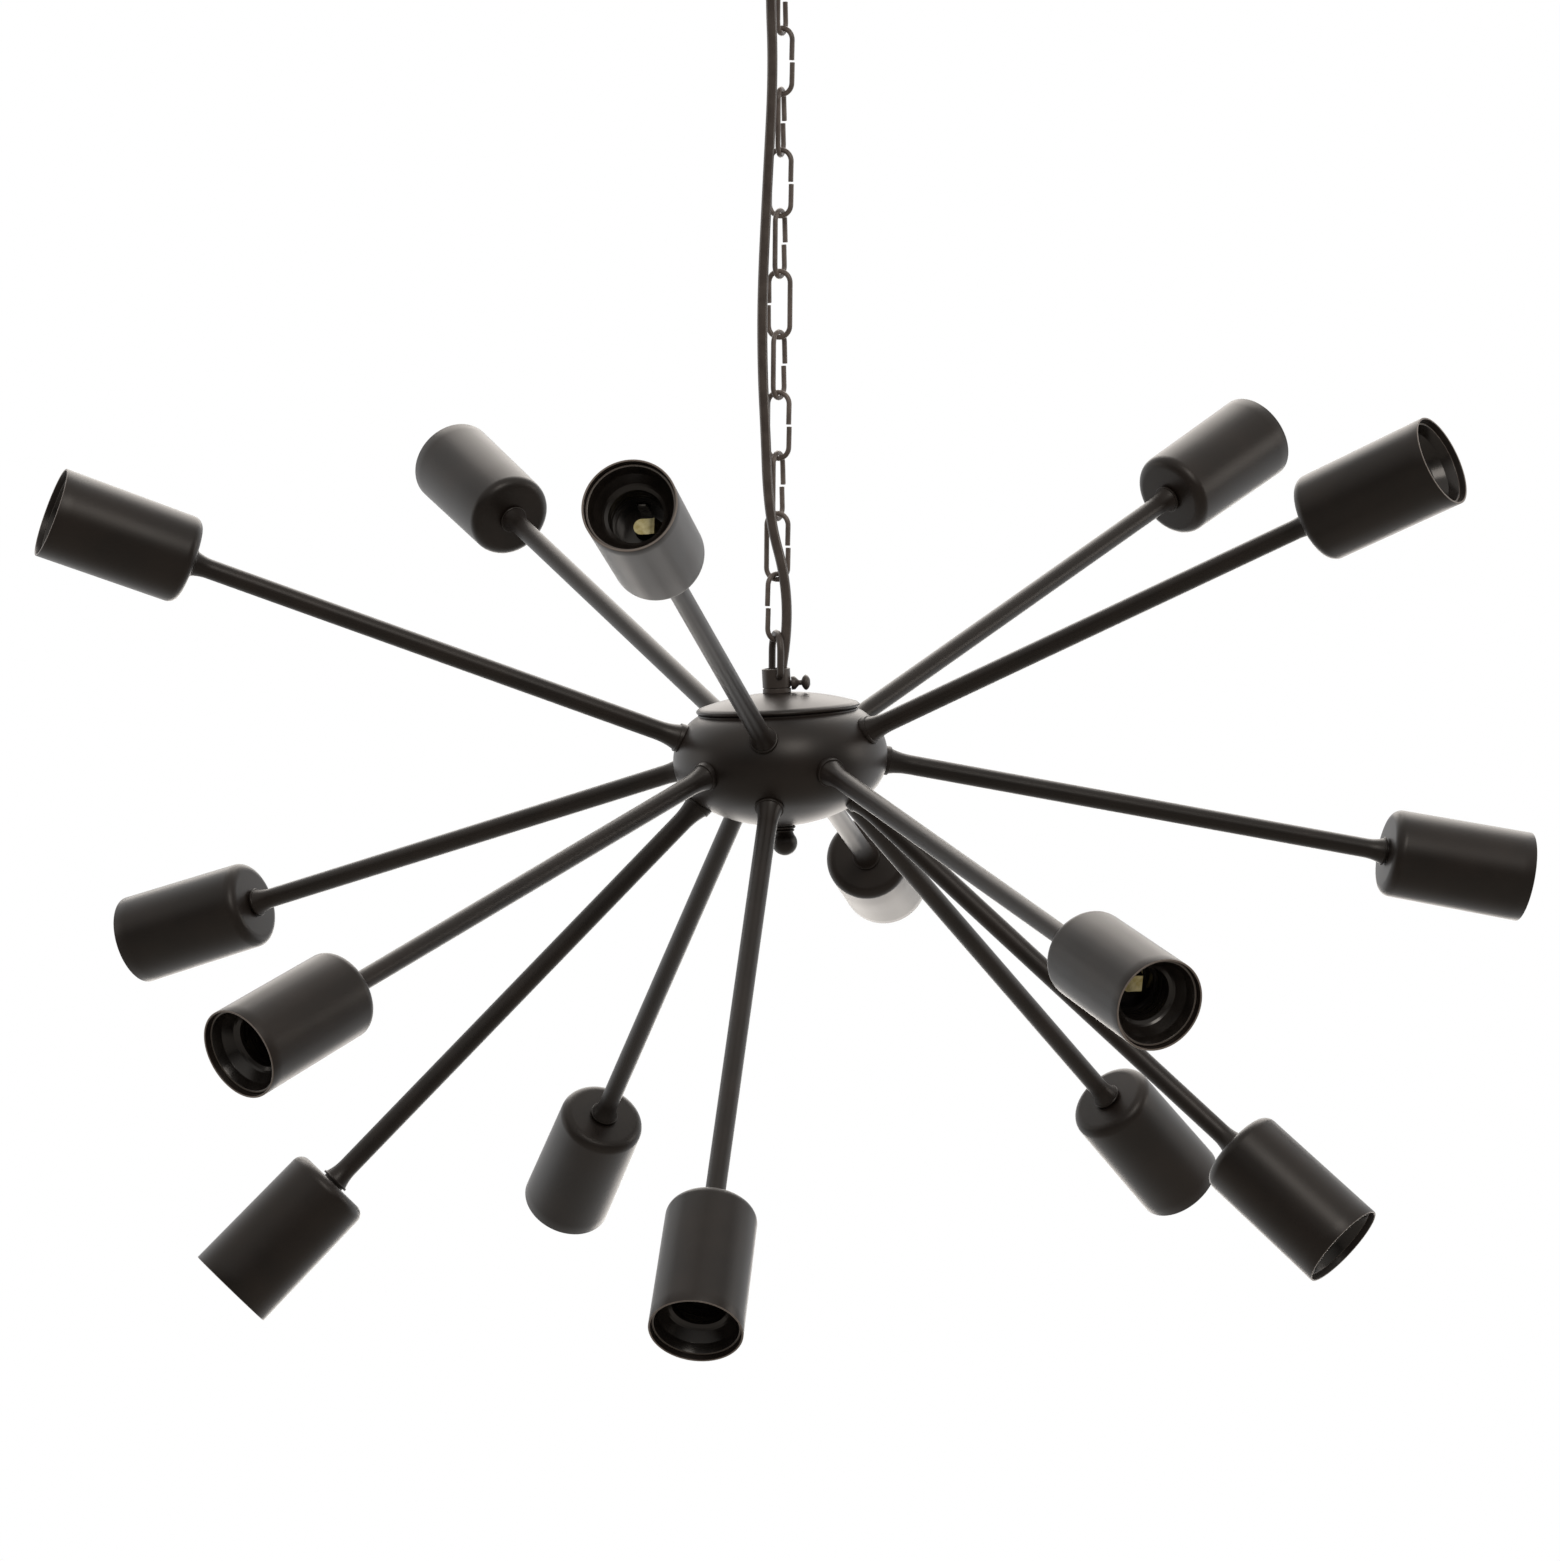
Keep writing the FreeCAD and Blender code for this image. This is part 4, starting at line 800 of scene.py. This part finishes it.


def cup_outline():
    """Outside, cut edge and inside of a cup whose back lies at height 0."""
    back = CUP_BACK_RADIUS + (CUP_MOUTH_RADIUS - CUP_BACK_RADIUS) * CUP_CORNER / CUP_LENGTH
    corner = (back - CUP_CORNER, CUP_CORNER)
    wall = [
        (back + (CUP_MOUTH_RADIUS - back) * t, CUP_CORNER + (CUP_LENGTH - CUP_CORNER) * t)
        for t in CUP_HEIGHTS
    ]
    inner_wall = [
        (back - CUP_WALL + (CUP_MOUTH_RADIUS - back) * t, CUP_CORNER + (CUP_LENGTH - CUP_CORNER) * t)
        for t in reversed(CUP_HEIGHTS)
    ]
    edge = [(CUP_MOUTH_RADIUS - inward, CUP_LENGTH - down) for inward, down in CUP_EDGE]
    edge += [
        (CUP_MOUTH_RADIUS - CUP_WALL + inward, CUP_LENGTH - down) for inward, down in reversed(CUP_EDGE)
    ]
    outline = [(CUP_HOLE, 0.0), (back - CUP_CORNER, 0.0)] + arc_points(corner, CUP_CORNER, -90, 0, 12)[1:]
    outline += wall + edge + inner_wall + arc_points(corner, CUP_CORNER - CUP_WALL, 0, -90, 8)
    return outline + [(CUP_HOLE, CUP_WALL), (CUP_HOLE, 0.0)]


def paint_highlight_band(mesh, lowest, highest):
    """Marks the points between two heights, in millimetres, for a grey painted highlight."""
    highlight_mask = mesh.attributes.new("thin_edge", "FLOAT", "POINT")
    highlight_values = [1.0 if lowest * MM < v.co.z < highest * MM else 0.0 for v in mesh.vertices]
    highlight_mask.data.foreach_set("value", highlight_values)


at_cup = Matrix.Translation((0, 0, ARM_LENGTH * MM))
for name, place in sorted(arms.items()):
    mesh = turned_mesh("drawn_cup_" + name, cup_outline(), 112)
    paint_highlight_band(mesh, CUP_LENGTH - HIGHLIGHT_BELOW, CUP_LENGTH + HIGHLIGHT_ABOVE)
    mesh.transform(place @ at_cup)
    piece = link_up("drawn_cup_" + name, mesh, coat)
    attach(piece, "hub")
    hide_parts("cup_" + name)

# ---- lampholders ----------------------------------------------------------------------------------
# Moulded black phenolic: a flat ring just inside the cup's mouth, a funnel, and a wall with the round
# thread of a 27 mm lamp cap, 3.6 mm from turn to turn.
HOLDER_RING_WIDTH = 1.1
HOLDER_WALL = 2.2
HOLDER_FLOOR = 4.0
HOLDER_BOSS_RADIUS = 8.0
HOLDER_BOSS_STEP = 5.0                     # from the floor's underside to the boss
HOLDER_SKIRT = 4.0                         # height over which the body widens to the ring
HOLDER_EDGE = 0.4
RING_HIGHLIGHT_BELOW = 0.02                        # from the ring's face, the band that gets the grey painted highlight
NUT_HEIGHT = 4.0
HOLE_GAP = 0.2                             # radial, between the ring and the cup
THREAD_GAP = 0.1                           # radial, round the arm's end
FUNNEL_THROAT = 14.9
FUNNEL_DEEPER = 4.0                        # the photograph's funnel goes this much deeper than the solid's
FUNNEL_SHOULDER = (1.6, 5.0)               # the rounded turn into the cone, in from the ring and down
FUNNEL_STEP = 0.9                          # small step at the throat
CONTACT_RADIUS = 11.8
CONTACT_DEPTH = 7.5
THREAD_RADIUS = 13.3
THREAD_PITCH = 3.6
THREAD_RISE = 0.45                         # how far the turns stand in from the wall, shallow and round
THREAD_STEP = 0.45                         # height between two rings of points on the thread
THREAD_RUNOUT = 0.6                        # plain wall left below the last turn
THREAD_FADE = 4                            # rings over which a turn rises from the wall
HOLDER_SIDES = 72
PHENOLIC_PATCH = 7.0
PHENOLIC_GRAIN = 1.6                       # drawn coarser than the real one, so that it shows
PHENOLIC_GRAIN_DEPTH = 0.006


def moulded_phenolic():
    """Black phenolic out of a polished mould: glossy, with soft uneven highlights.  Its flat ring, the
    marked band, gets a grey painted highlight."""
    material, tree, shader = new_material("die_moulded_black_phenolic", IOR=1.6)
    place = add_node(tree, "ShaderNodeTexCoord").outputs["Object"]
    patches = add_node(
        tree, "ShaderNodeTexNoise", {"Scale": 1 / (PHENOLIC_PATCH * MM), "Detail": 3.0}, {"Vector": place}
    ).outputs["Fac"]
    shades = add_node(
        tree, "ShaderNodeValToRGB", (), {"Fac": patches}, stops=((0.35, "#1a1715"), (0.65, "#24201d"))
    )
    # The marked ring points get a grey painted highlight.
    highlight_mask = add_node(tree, "ShaderNodeAttribute", {"attribute_name": "thin_edge"})
    ring_highlighted = add_node(
        tree, "ShaderNodeMixRGB", {"Color2": linear("#6a635e")},
        {"Fac": highlight_mask.outputs["Fac"], "Color1": shades.outputs["Color"]},
    )
    shine = add_node(tree, "ShaderNodeMapRange", {"To Min": 0.16, "To Max": 0.28}, {"Value": patches})
    grain = add_node(
        tree, "ShaderNodeTexNoise", {"Scale": 1 / (PHENOLIC_GRAIN * MM), "Detail": 2.0}, {"Vector": place}
    )
    bumps = add_node(
        tree, "ShaderNodeBump", {"Strength": 0.5, "Distance": PHENOLIC_GRAIN_DEPTH * MM},
        {"Height": grain.outputs["Fac"]},
    )
    tree.links.new(ring_highlighted.outputs["Color"], shader.inputs["Base Color"])
    tree.links.new(shine.outputs["Result"], shader.inputs["Roughness"])
    tree.links.new(bumps.outputs["Normal"], shader.inputs["Normal"])
    return material


def holder_mesh(name):
    """The lampholder, its thread raised from the wall as one spiral."""
    ring = CUP_LENGTH - HOLDER_RECESS
    mouth = ring - FUNNEL_DEPTH - FUNNEL_DEEPER
    floor = thread_end - CONTACT_DEPTH
    underside = floor - HOLDER_FLOOR
    seat = CUP_WALL + NUT_HEIGHT
    wall_r = CUP_BACK_RADIUS + (CUP_MOUTH_RADIUS - CUP_BACK_RADIUS) * mouth / CUP_LENGTH
    ring_r = wall_r - CUP_WALL - HOLE_GAP
    funnel_r = ring_r - HOLDER_RING_WIDTH
    body_r = THREAD_RADIUS + HOLDER_WALL
    bore = ARM_THREAD_RADIUS + THREAD_GAP
    inward, down = FUNNEL_SHOULDER
    outline = rounded([
        (bore, seat, 0), (HOLDER_BOSS_RADIUS, seat, HOLDER_EDGE),
        (HOLDER_BOSS_RADIUS, underside - HOLDER_BOSS_STEP, HOLDER_EDGE), (body_r, underside, HOLDER_EDGE),
        (body_r, mouth - HOLDER_SKIRT, HOLDER_EDGE), (ring_r, mouth, HOLDER_EDGE), (ring_r, ring, 0.25),
        (funnel_r, ring, 0.3), (funnel_r - inward, ring - down, 2.0),
        (FUNNEL_THROAT + FUNNEL_STEP, mouth + FUNNEL_STEP, 0.6),
        (FUNNEL_THROAT, mouth, 0.3), (THREAD_RADIUS, mouth - THREAD_CHAMFER, 0.2),
    ], 4)
    first = len(outline)
    rings = int((THREAD_DEPTH - FUNNEL_DEEPER - THREAD_RUNOUT) / THREAD_STEP)
    outline += [(THREAD_RADIUS, mouth - THREAD_CHAMFER - THREAD_STEP * (i + 1)) for i in range(rings)]
    last = len(outline)
    outline += [(THREAD_RADIUS, thread_end), (CONTACT_RADIUS, thread_end), (CONTACT_RADIUS, floor)]
    outline += [(bore, floor), (bore, seat)]
    mesh = turned_mesh(name, outline, HOLDER_SIDES, 40.0)
    for row in range(first, last):
        fade = min(1.0, (row - first + 1) / THREAD_FADE, (last - row) / THREAD_FADE)
        for k in range(HOLDER_SIDES):
            vertex = mesh.vertices[row * HOLDER_SIDES + k]
            phase = 2 * math.pi * (vertex.co.z / MM / THREAD_PITCH - k / HOLDER_SIDES)
            rise = THREAD_RISE * fade * max(0.0, 0.5 + 0.7 * math.sin(phase))
            scale = (THREAD_RADIUS - min(rise, THREAD_RISE)) / THREAD_RADIUS
            vertex.co.x *= scale
            vertex.co.y *= scale
    mesh.shade_smooth()
    mesh.set_sharp_from_angle(angle=math.radians(40.0))
    return mesh


phenolic = moulded_phenolic()
for name, place in sorted(arms.items()):
    mesh = holder_mesh("lampholder_" + name)
    paint_highlight_band(mesh, CUP_LENGTH - HOLDER_RECESS - RING_HIGHLIGHT_BELOW, CUP_LENGTH)
    mesh.transform(place @ at_cup)
    piece = link_up("lampholder_" + name, mesh, phenolic)
    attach(piece, "hub")
    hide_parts("lampholders")

# ---- lamp contacts --------------------------------------------------------------------------------
# A centre tongue of springy rolled brass, punched with a round end and bent up towards the lamp, and
# a small nickel-plated side contact.
TONGUE_WIDTH = 7.8
TONGUE_THICK = 0.8
TONGUE_RISE = 5.8
TONGUE_ROOT_GAP = 2.0                      # from the contact chamber's wall
TONGUE_BEND = (                            # steps in from the root and up from the floor
    (0.0, 0.0), (1.0, 0.0), (1.8, 1.0), (2.6, 4.6), (3.6, 6.6), (5.2, 6.2), (6.6, TONGUE_RISE),
)
TONGUE_END_STEPS = 6
SIDE_CONTACT_WIDTH = 5.0
SIDE_CONTACT_HEIGHT = 7.0
SIDE_CONTACT_ROUND = 1.2
STRIP_PATCH = 3.0
STRIP_GRAIN = 0.5                          # the roller's marks, drawn coarser than the real ones
STRIP_GRAIN_DEPTH = 0.01
STRIP_ROUGHNESS = (0.24, 0.38)


def rolled_strip(name, dark, light):
    """Rolled metal strip: bright, with highlights that blur in small patches."""
    material, tree, shader = new_material(name, Metallic=1.0)
    place = add_node(tree, "ShaderNodeTexCoord").outputs["Object"]
    patches = add_node(
        tree, "ShaderNodeTexNoise", {"Scale": 1 / (STRIP_PATCH * MM), "Detail": 3.0}, {"Vector": place}
    ).outputs["Fac"]
    shades = add_node(tree, "ShaderNodeValToRGB", (), {"Fac": patches}, stops=((0.35, dark), (0.65, light)))
    least, most = STRIP_ROUGHNESS
    shine = add_node(tree, "ShaderNodeMapRange", {"To Min": least, "To Max": most}, {"Value": patches})
    grain = add_node(
        tree, "ShaderNodeTexNoise", {"Scale": 1 / (STRIP_GRAIN * MM), "Detail": 2.0}, {"Vector": place}
    )
    bumps = add_node(
        tree, "ShaderNodeBump", {"Strength": 0.2, "Distance": STRIP_GRAIN_DEPTH * MM},
        {"Height": grain.outputs["Fac"]},
    )
    tree.links.new(shades.outputs["Color"], shader.inputs["Base Color"])
    tree.links.new(shine.outputs["Result"], shader.inputs["Roughness"])
    tree.links.new(bumps.outputs["Normal"], shader.inputs["Normal"])
    return material


def tongue_mesh(name):
    """A bent strip with a round end: its outline is carried along the bend and given its thickness."""
    floor = thread_end - CONTACT_DEPTH
    root = CONTACT_RADIUS - TONGUE_ROOT_GAP
    half_width = TONGUE_WIDTH / 2
    bend = [(root - inward, up) for inward, up in TONGUE_BEND]
    for i in range(TONGUE_END_STEPS + 1):
        bend.append((-half_width * math.sin(math.pi / 2 * i / TONGUE_END_STEPS), TONGUE_RISE))
    points, faces = [], []
    for y, z in bend:
        wide = half_width if y > 0 else math.sqrt(max(half_width ** 2 - y ** 2, 0.02))
        for x, lift in ((-wide, 0), (wide, 0), (wide, TONGUE_THICK), (-wide, TONGUE_THICK)):
            points.append(Vector((x, y, floor + z + lift)) * MM)
    for i in range(len(bend) - 1):
        for k in range(4):
            a, b = 4 * i + k, 4 * i + (k + 1) % 4
            faces.append((a, a + 4, b + 4, b))
    faces.append((0, 1, 2, 3))
    faces.append(tuple(4 * (len(bend) - 1) + k for k in (3, 2, 1, 0)))
    return mesh_of(name, points, faces, 50.0)


def side_contact_mesh(name):
    """A narrow plate against the contact chamber's wall, its top edge rounded over."""
    floor = thread_end - CONTACT_DEPTH
    outer = -CONTACT_RADIUS + TONGUE_THICK
    half_width = SIDE_CONTACT_WIDTH / 2
    corner, shoulder = SIDE_CONTACT_ROUND, SIDE_CONTACT_HEIGHT - SIDE_CONTACT_ROUND
    outline = [(-half_width, 0), (half_width, 0)]
    outline += [(x, shoulder + z) for x, z in arc_points((half_width - corner, 0), corner, 0, 90, 5)]
    outline += [(x, shoulder + z) for x, z in arc_points((-half_width + corner, 0), corner, 90, 180, 5)]
    count = len(outline)
    points = [Vector((x, y, floor + z)) * MM for x in (outer, outer + TONGUE_THICK) for y, z in outline]
    faces = [tuple(reversed(range(count))), tuple(range(count, 2 * count))]
    faces += [(k, (k + 1) % count, count + (k + 1) % count, count + k) for k in range(count)]
    return mesh_of(name, points, faces, 40.0)


brass = rolled_strip("rolled_brass_strip", "#b8ad79", "#dfd7aa")
nickel = rolled_strip("nickel_plated_strip", "#b4b4b0", "#dcdbd6")
for name, place in sorted(arms.items()):
    for part, build, metal in (("tongue", tongue_mesh, brass), ("side_contact", side_contact_mesh, nickel)):
        mesh = build(part + "_" + name)
        mesh.transform(place @ at_cup)
        piece = link_up(part + "_" + name, mesh, metal)
        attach(piece, "hub")
        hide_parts("lamp_contacts")

# ---- inner steel, terminal block, gland -----------------------------------------------------------
# Zinc-plated stem, nuts and ceiling bracket; a terminal strip moulded in cream polyamide; a black
# nylon gland.  They keep their solids and take a finish of their own.
ZINC_PATCH = 5.0                           # mm across a patch of one shine
ZINC_GRAIN = 0.7
ZINC_GRAIN_DEPTH = 0.01
NYLON_PATCH = 6.0
NYLON_GRAIN = 0.6                          # the mould's fine spark texture, drawn a little coarser
NYLON_GRAIN_DEPTH = 0.02


def zinc_plate():
    """Bright zinc plating: a cool grey metal whose shine drifts from patch to patch."""
    material, tree, shader = new_material("bright_zinc_plate", Metallic=1.0)
    place = add_node(tree, "ShaderNodeTexCoord").outputs["Object"]
    patches = add_node(
        tree, "ShaderNodeTexNoise", {"Scale": 1 / (ZINC_PATCH * MM), "Detail": 3.0}, {"Vector": place}
    ).outputs["Fac"]
    shades = add_node(
        tree, "ShaderNodeValToRGB", (), {"Fac": patches}, stops=((0.35, "#9a9da0"), (0.65, "#c3c5c6"))
    )
    shine = add_node(tree, "ShaderNodeMapRange", {"To Min": 0.26, "To Max": 0.44}, {"Value": patches})
    grain = add_node(
        tree, "ShaderNodeTexNoise", {"Scale": 1 / (ZINC_GRAIN * MM), "Detail": 2.0}, {"Vector": place}
    )
    bumps = add_node(
        tree, "ShaderNodeBump", {"Strength": 0.2, "Distance": ZINC_GRAIN_DEPTH * MM},
        {"Height": grain.outputs["Fac"]},
    )
    tree.links.new(shades.outputs["Color"], shader.inputs["Base Color"])
    tree.links.new(shine.outputs["Result"], shader.inputs["Roughness"])
    tree.links.new(bumps.outputs["Normal"], shader.inputs["Normal"])
    return material


def moulded_polyamide(name, dark, light, roughness):
    """Polyamide out of a spark-textured mould: nearly matt, with a fine even grain."""
    material, tree, shader = new_material(name, IOR=1.53)
    place = add_node(tree, "ShaderNodeTexCoord").outputs["Object"]
    patches = add_node(
        tree, "ShaderNodeTexNoise", {"Scale": 1 / (NYLON_PATCH * MM), "Detail": 3.0}, {"Vector": place}
    ).outputs["Fac"]
    shades = add_node(tree, "ShaderNodeValToRGB", (), {"Fac": patches}, stops=((0.35, dark), (0.65, light)))
    shine = add_node(
        tree, "ShaderNodeMapRange", {"To Min": roughness - 0.06, "To Max": roughness + 0.06},
        {"Value": patches},
    )
    grain = add_node(
        tree, "ShaderNodeTexNoise", {"Scale": 1 / (NYLON_GRAIN * MM), "Detail": 2.0}, {"Vector": place}
    )
    bumps = add_node(
        tree, "ShaderNodeBump", {"Strength": 0.25, "Distance": NYLON_GRAIN_DEPTH * MM},
        {"Height": grain.outputs["Fac"]},
    )
    tree.links.new(shades.outputs["Color"], shader.inputs["Base Color"])
    tree.links.new(shine.outputs["Result"], shader.inputs["Roughness"])
    tree.links.new(bumps.outputs["Normal"], shader.inputs["Normal"])
    return material


def finish_node(node, material):
    """Gives a carried-over solid its finish, smooth over its round faces."""
    solid = frame["nodes"][node]
    solid.data.materials.clear()
    solid.data.materials.append(material)
    solid.data.shade_smooth()
    solid.data.set_sharp_from_angle(angle=math.radians(32))


zinc = zinc_plate()
for node in ("ceiling_bracket", "hanger_nuts", "hub_stem", "stem_nuts", "arm_nuts"):
    finish_node(node, zinc)
finish_node("terminal_block", moulded_polyamide("moulded_cream_polyamide", "#cfc9b8", "#ddd8ca", 0.45))
finish_node("cable_gland", moulded_polyamide("moulded_black_nylon", "#1b1a19", "#262423", 0.5))

# ---- ceiling cup ----------------------------------------------------------------------------------
# Pressed from 1.2 mm sheet with a round lower edge and coated like the hub.  It covers the bracket
# and the cable's joint.  Two studs with domed cap nuts hold it up; a stem with a loop holds the chain.
for node in ("canopy", "canopy_fixings", "canopy_hanger"):
    finish_node(node, coat)

# ---- floor, backdrop and light --------------------------------------------------------------------
# A white studio: a pale floor that runs out to white and a white sweep behind the light.  Broad soft
# lamps stand behind it, high and low, one hangs in front and a weak one at each side.  The room on the
# near side is darker, so the black coat keeps its depth.
FLOOR_DROP = 1.9
FLOOR_REACH = 40.0
NEAR_FLOOR, FAR_FLOOR = 3.0, 7.0           # metres from the light between which the floor turns white
FLOOR_SEEN = 0.8                           # share of white in the near floor; the rest is paint and shadow


def any_of(tree, sockets):
    """One socket that is 1 where any of these is."""
    seen = sockets[0]
    for socket in sockets[1:]:
        seen = add_node(tree, "ShaderNodeMath", {"operation": "MAXIMUM"}, {0: seen, 1: socket}).outputs[0]
    return seen


def studio_floor():
    """Matt pale paint that takes the object's shadow.  Most of its look is plain white, all of it far
    out, and so is its mirror image in the metal from behind the light."""
    material = bpy.data.materials.new("painted_studio_floor")
    material.use_nodes = True
    tree = material.node_tree
    tree.nodes.clear()
    path = add_node(tree, "ShaderNodeLightPath")
    place = add_node(tree, "ShaderNodeNewGeometry")
    away = add_node(tree, "ShaderNodeVectorMath", {"operation": "LENGTH"}, {0: place.outputs["Position"]})
    far = add_node(
        tree, "ShaderNodeMapRange",
        {"From Min": NEAR_FLOOR, "From Max": FAR_FLOOR, "To Min": FLOOR_SEEN, "To Max": 1.0},
        {"Value": away.outputs["Value"]},
    )
    along = add_node(tree, "ShaderNodeSeparateXYZ", (), {0: place.outputs["Position"]})
    behind = add_node(
        tree, "ShaderNodeMapRange", {"interpolation_type": "SMOOTHSTEP", "From Min": -0.5, "From Max": 2.0},
        {"Value": along.outputs["Y"]},
    )
    mirrored = add_node(
        tree, "ShaderNodeMath", {"operation": "MULTIPLY"},
        {0: path.outputs["Is Glossy Ray"], 1: behind.outputs[0]},
    )
    rays = [path.outputs["Is Camera Ray"], path.outputs["Is Transmission Ray"], mirrored.outputs[0]]
    seen = any_of(tree, rays)
    share = add_node(tree, "ShaderNodeMath", {"operation": "MULTIPLY"}, {0: seen, 1: far.outputs[0]})
    paint = add_node(tree, "ShaderNodeBsdfDiffuse", {"Color": linear("#a3a09c")})
    glow = add_node(tree, "ShaderNodeEmission", {"Color": (1, 1, 1, 1), "Strength": 1.0})
    mix = add_node(
        tree, "ShaderNodeMixShader", (), {0: share.outputs[0], 1: paint.outputs[0], 2: glow.outputs[0]}
    )
    add_node(tree, "ShaderNodeOutputMaterial", (), {"Surface": mix.outputs[0]})
    return material


low = hub_middle.z - FLOOR_DROP
ways = ((-1, -1), (1, -1), (1, 1), (-1, 1))
floor_mesh = bpy.data.meshes.new("floor")
floor_mesh.from_pydata([(x * FLOOR_REACH, y * FLOOR_REACH, low) for x, y in ways], [], [(0, 1, 2, 3)])
floor = link_up("floor", floor_mesh, studio_floor())

world = bpy.data.worlds.new("white_sweep_and_dark_room")
bpy.context.scene.world = world
world.use_nodes = True
tree = world.node_tree
tree.nodes.clear()
path = add_node(tree, "ShaderNodeLightPath")
way = add_node(tree, "ShaderNodeTexCoord")
parts = add_node(tree, "ShaderNodeSeparateXYZ", (), {0: way.outputs["Generated"]})
behind = add_node(
    tree, "ShaderNodeMapRange", {"interpolation_type": "SMOOTHSTEP", "From Min": 0.0, "From Max": 0.7},
    {"Value": parts.outputs["Y"]},
)
overhead = add_node(
    tree, "ShaderNodeMapRange",
    {"interpolation_type": "SMOOTHSTEP", "From Min": -0.1, "From Max": 0.8, "To Min": 0.03, "To Max": 0.6},
    {"Value": parts.outputs["Z"]},
)
around = add_node(
    tree, "ShaderNodeMath", {"operation": "MAXIMUM"}, {0: behind.outputs[0], 1: overhead.outputs[0]}
)
mirrored = add_node(
    tree, "ShaderNodeMath", {"operation": "MULTIPLY"},
    {0: path.outputs["Is Glossy Ray"], 1: behind.outputs[0]},
)
rays = [path.outputs["Is Camera Ray"], path.outputs["Is Transmission Ray"], mirrored.outputs[0]]
seen = any_of(tree, rays)
room = add_node(
    tree, "ShaderNodeBackground", {"Color": linear("#fff8f0")}, {"Strength": around.outputs[0]}
)
white = add_node(tree, "ShaderNodeBackground", {"Color": (1, 1, 1, 1), "Strength": 1.0})
mix = add_node(tree, "ShaderNodeMixShader", (), {0: seen, 1: room.outputs[0], 2: white.outputs[0]})
add_node(tree, "ShaderNodeOutputWorld", (), {"Surface": mix.outputs[0]})


def soft_light(name, place, size, power):
    """A square soft lamp that faces the hub: its place from there and size in metres, power in watts."""
    data = bpy.data.lights.new(name, "AREA")
    data.shape = "SQUARE"
    data.size = size
    data.energy = power
    data.color = linear("#fff6ec")[:3]
    lamp = bpy.data.objects.new(name, data)
    lamp.location = hub_middle + Vector(place)
    lamp.rotation_euler = (-Vector(place)).to_track_quat("-Z", "Y").to_euler()
    lamp.visible_camera = False
    bpy.context.scene.collection.objects.link(lamp)


soft_light("back_top_lamp", (0.0, 2.6, 1.9), 3.0, 64.0)
soft_light("left_lamp", (-3.4, 0.3, 0.5), 1.2, 5.0)
soft_light("right_lamp", (3.4, 0.1, 0.7), 1.2, 11.0)
soft_light("low_back_lamp", (0.3, 3.0, -1.2), 2.0, 30.0)
soft_light("front_top_lamp", (0.8, -2.8, 2.2), 1.4, 24.0)
bpy.context.scene.view_settings.view_transform = "Standard"
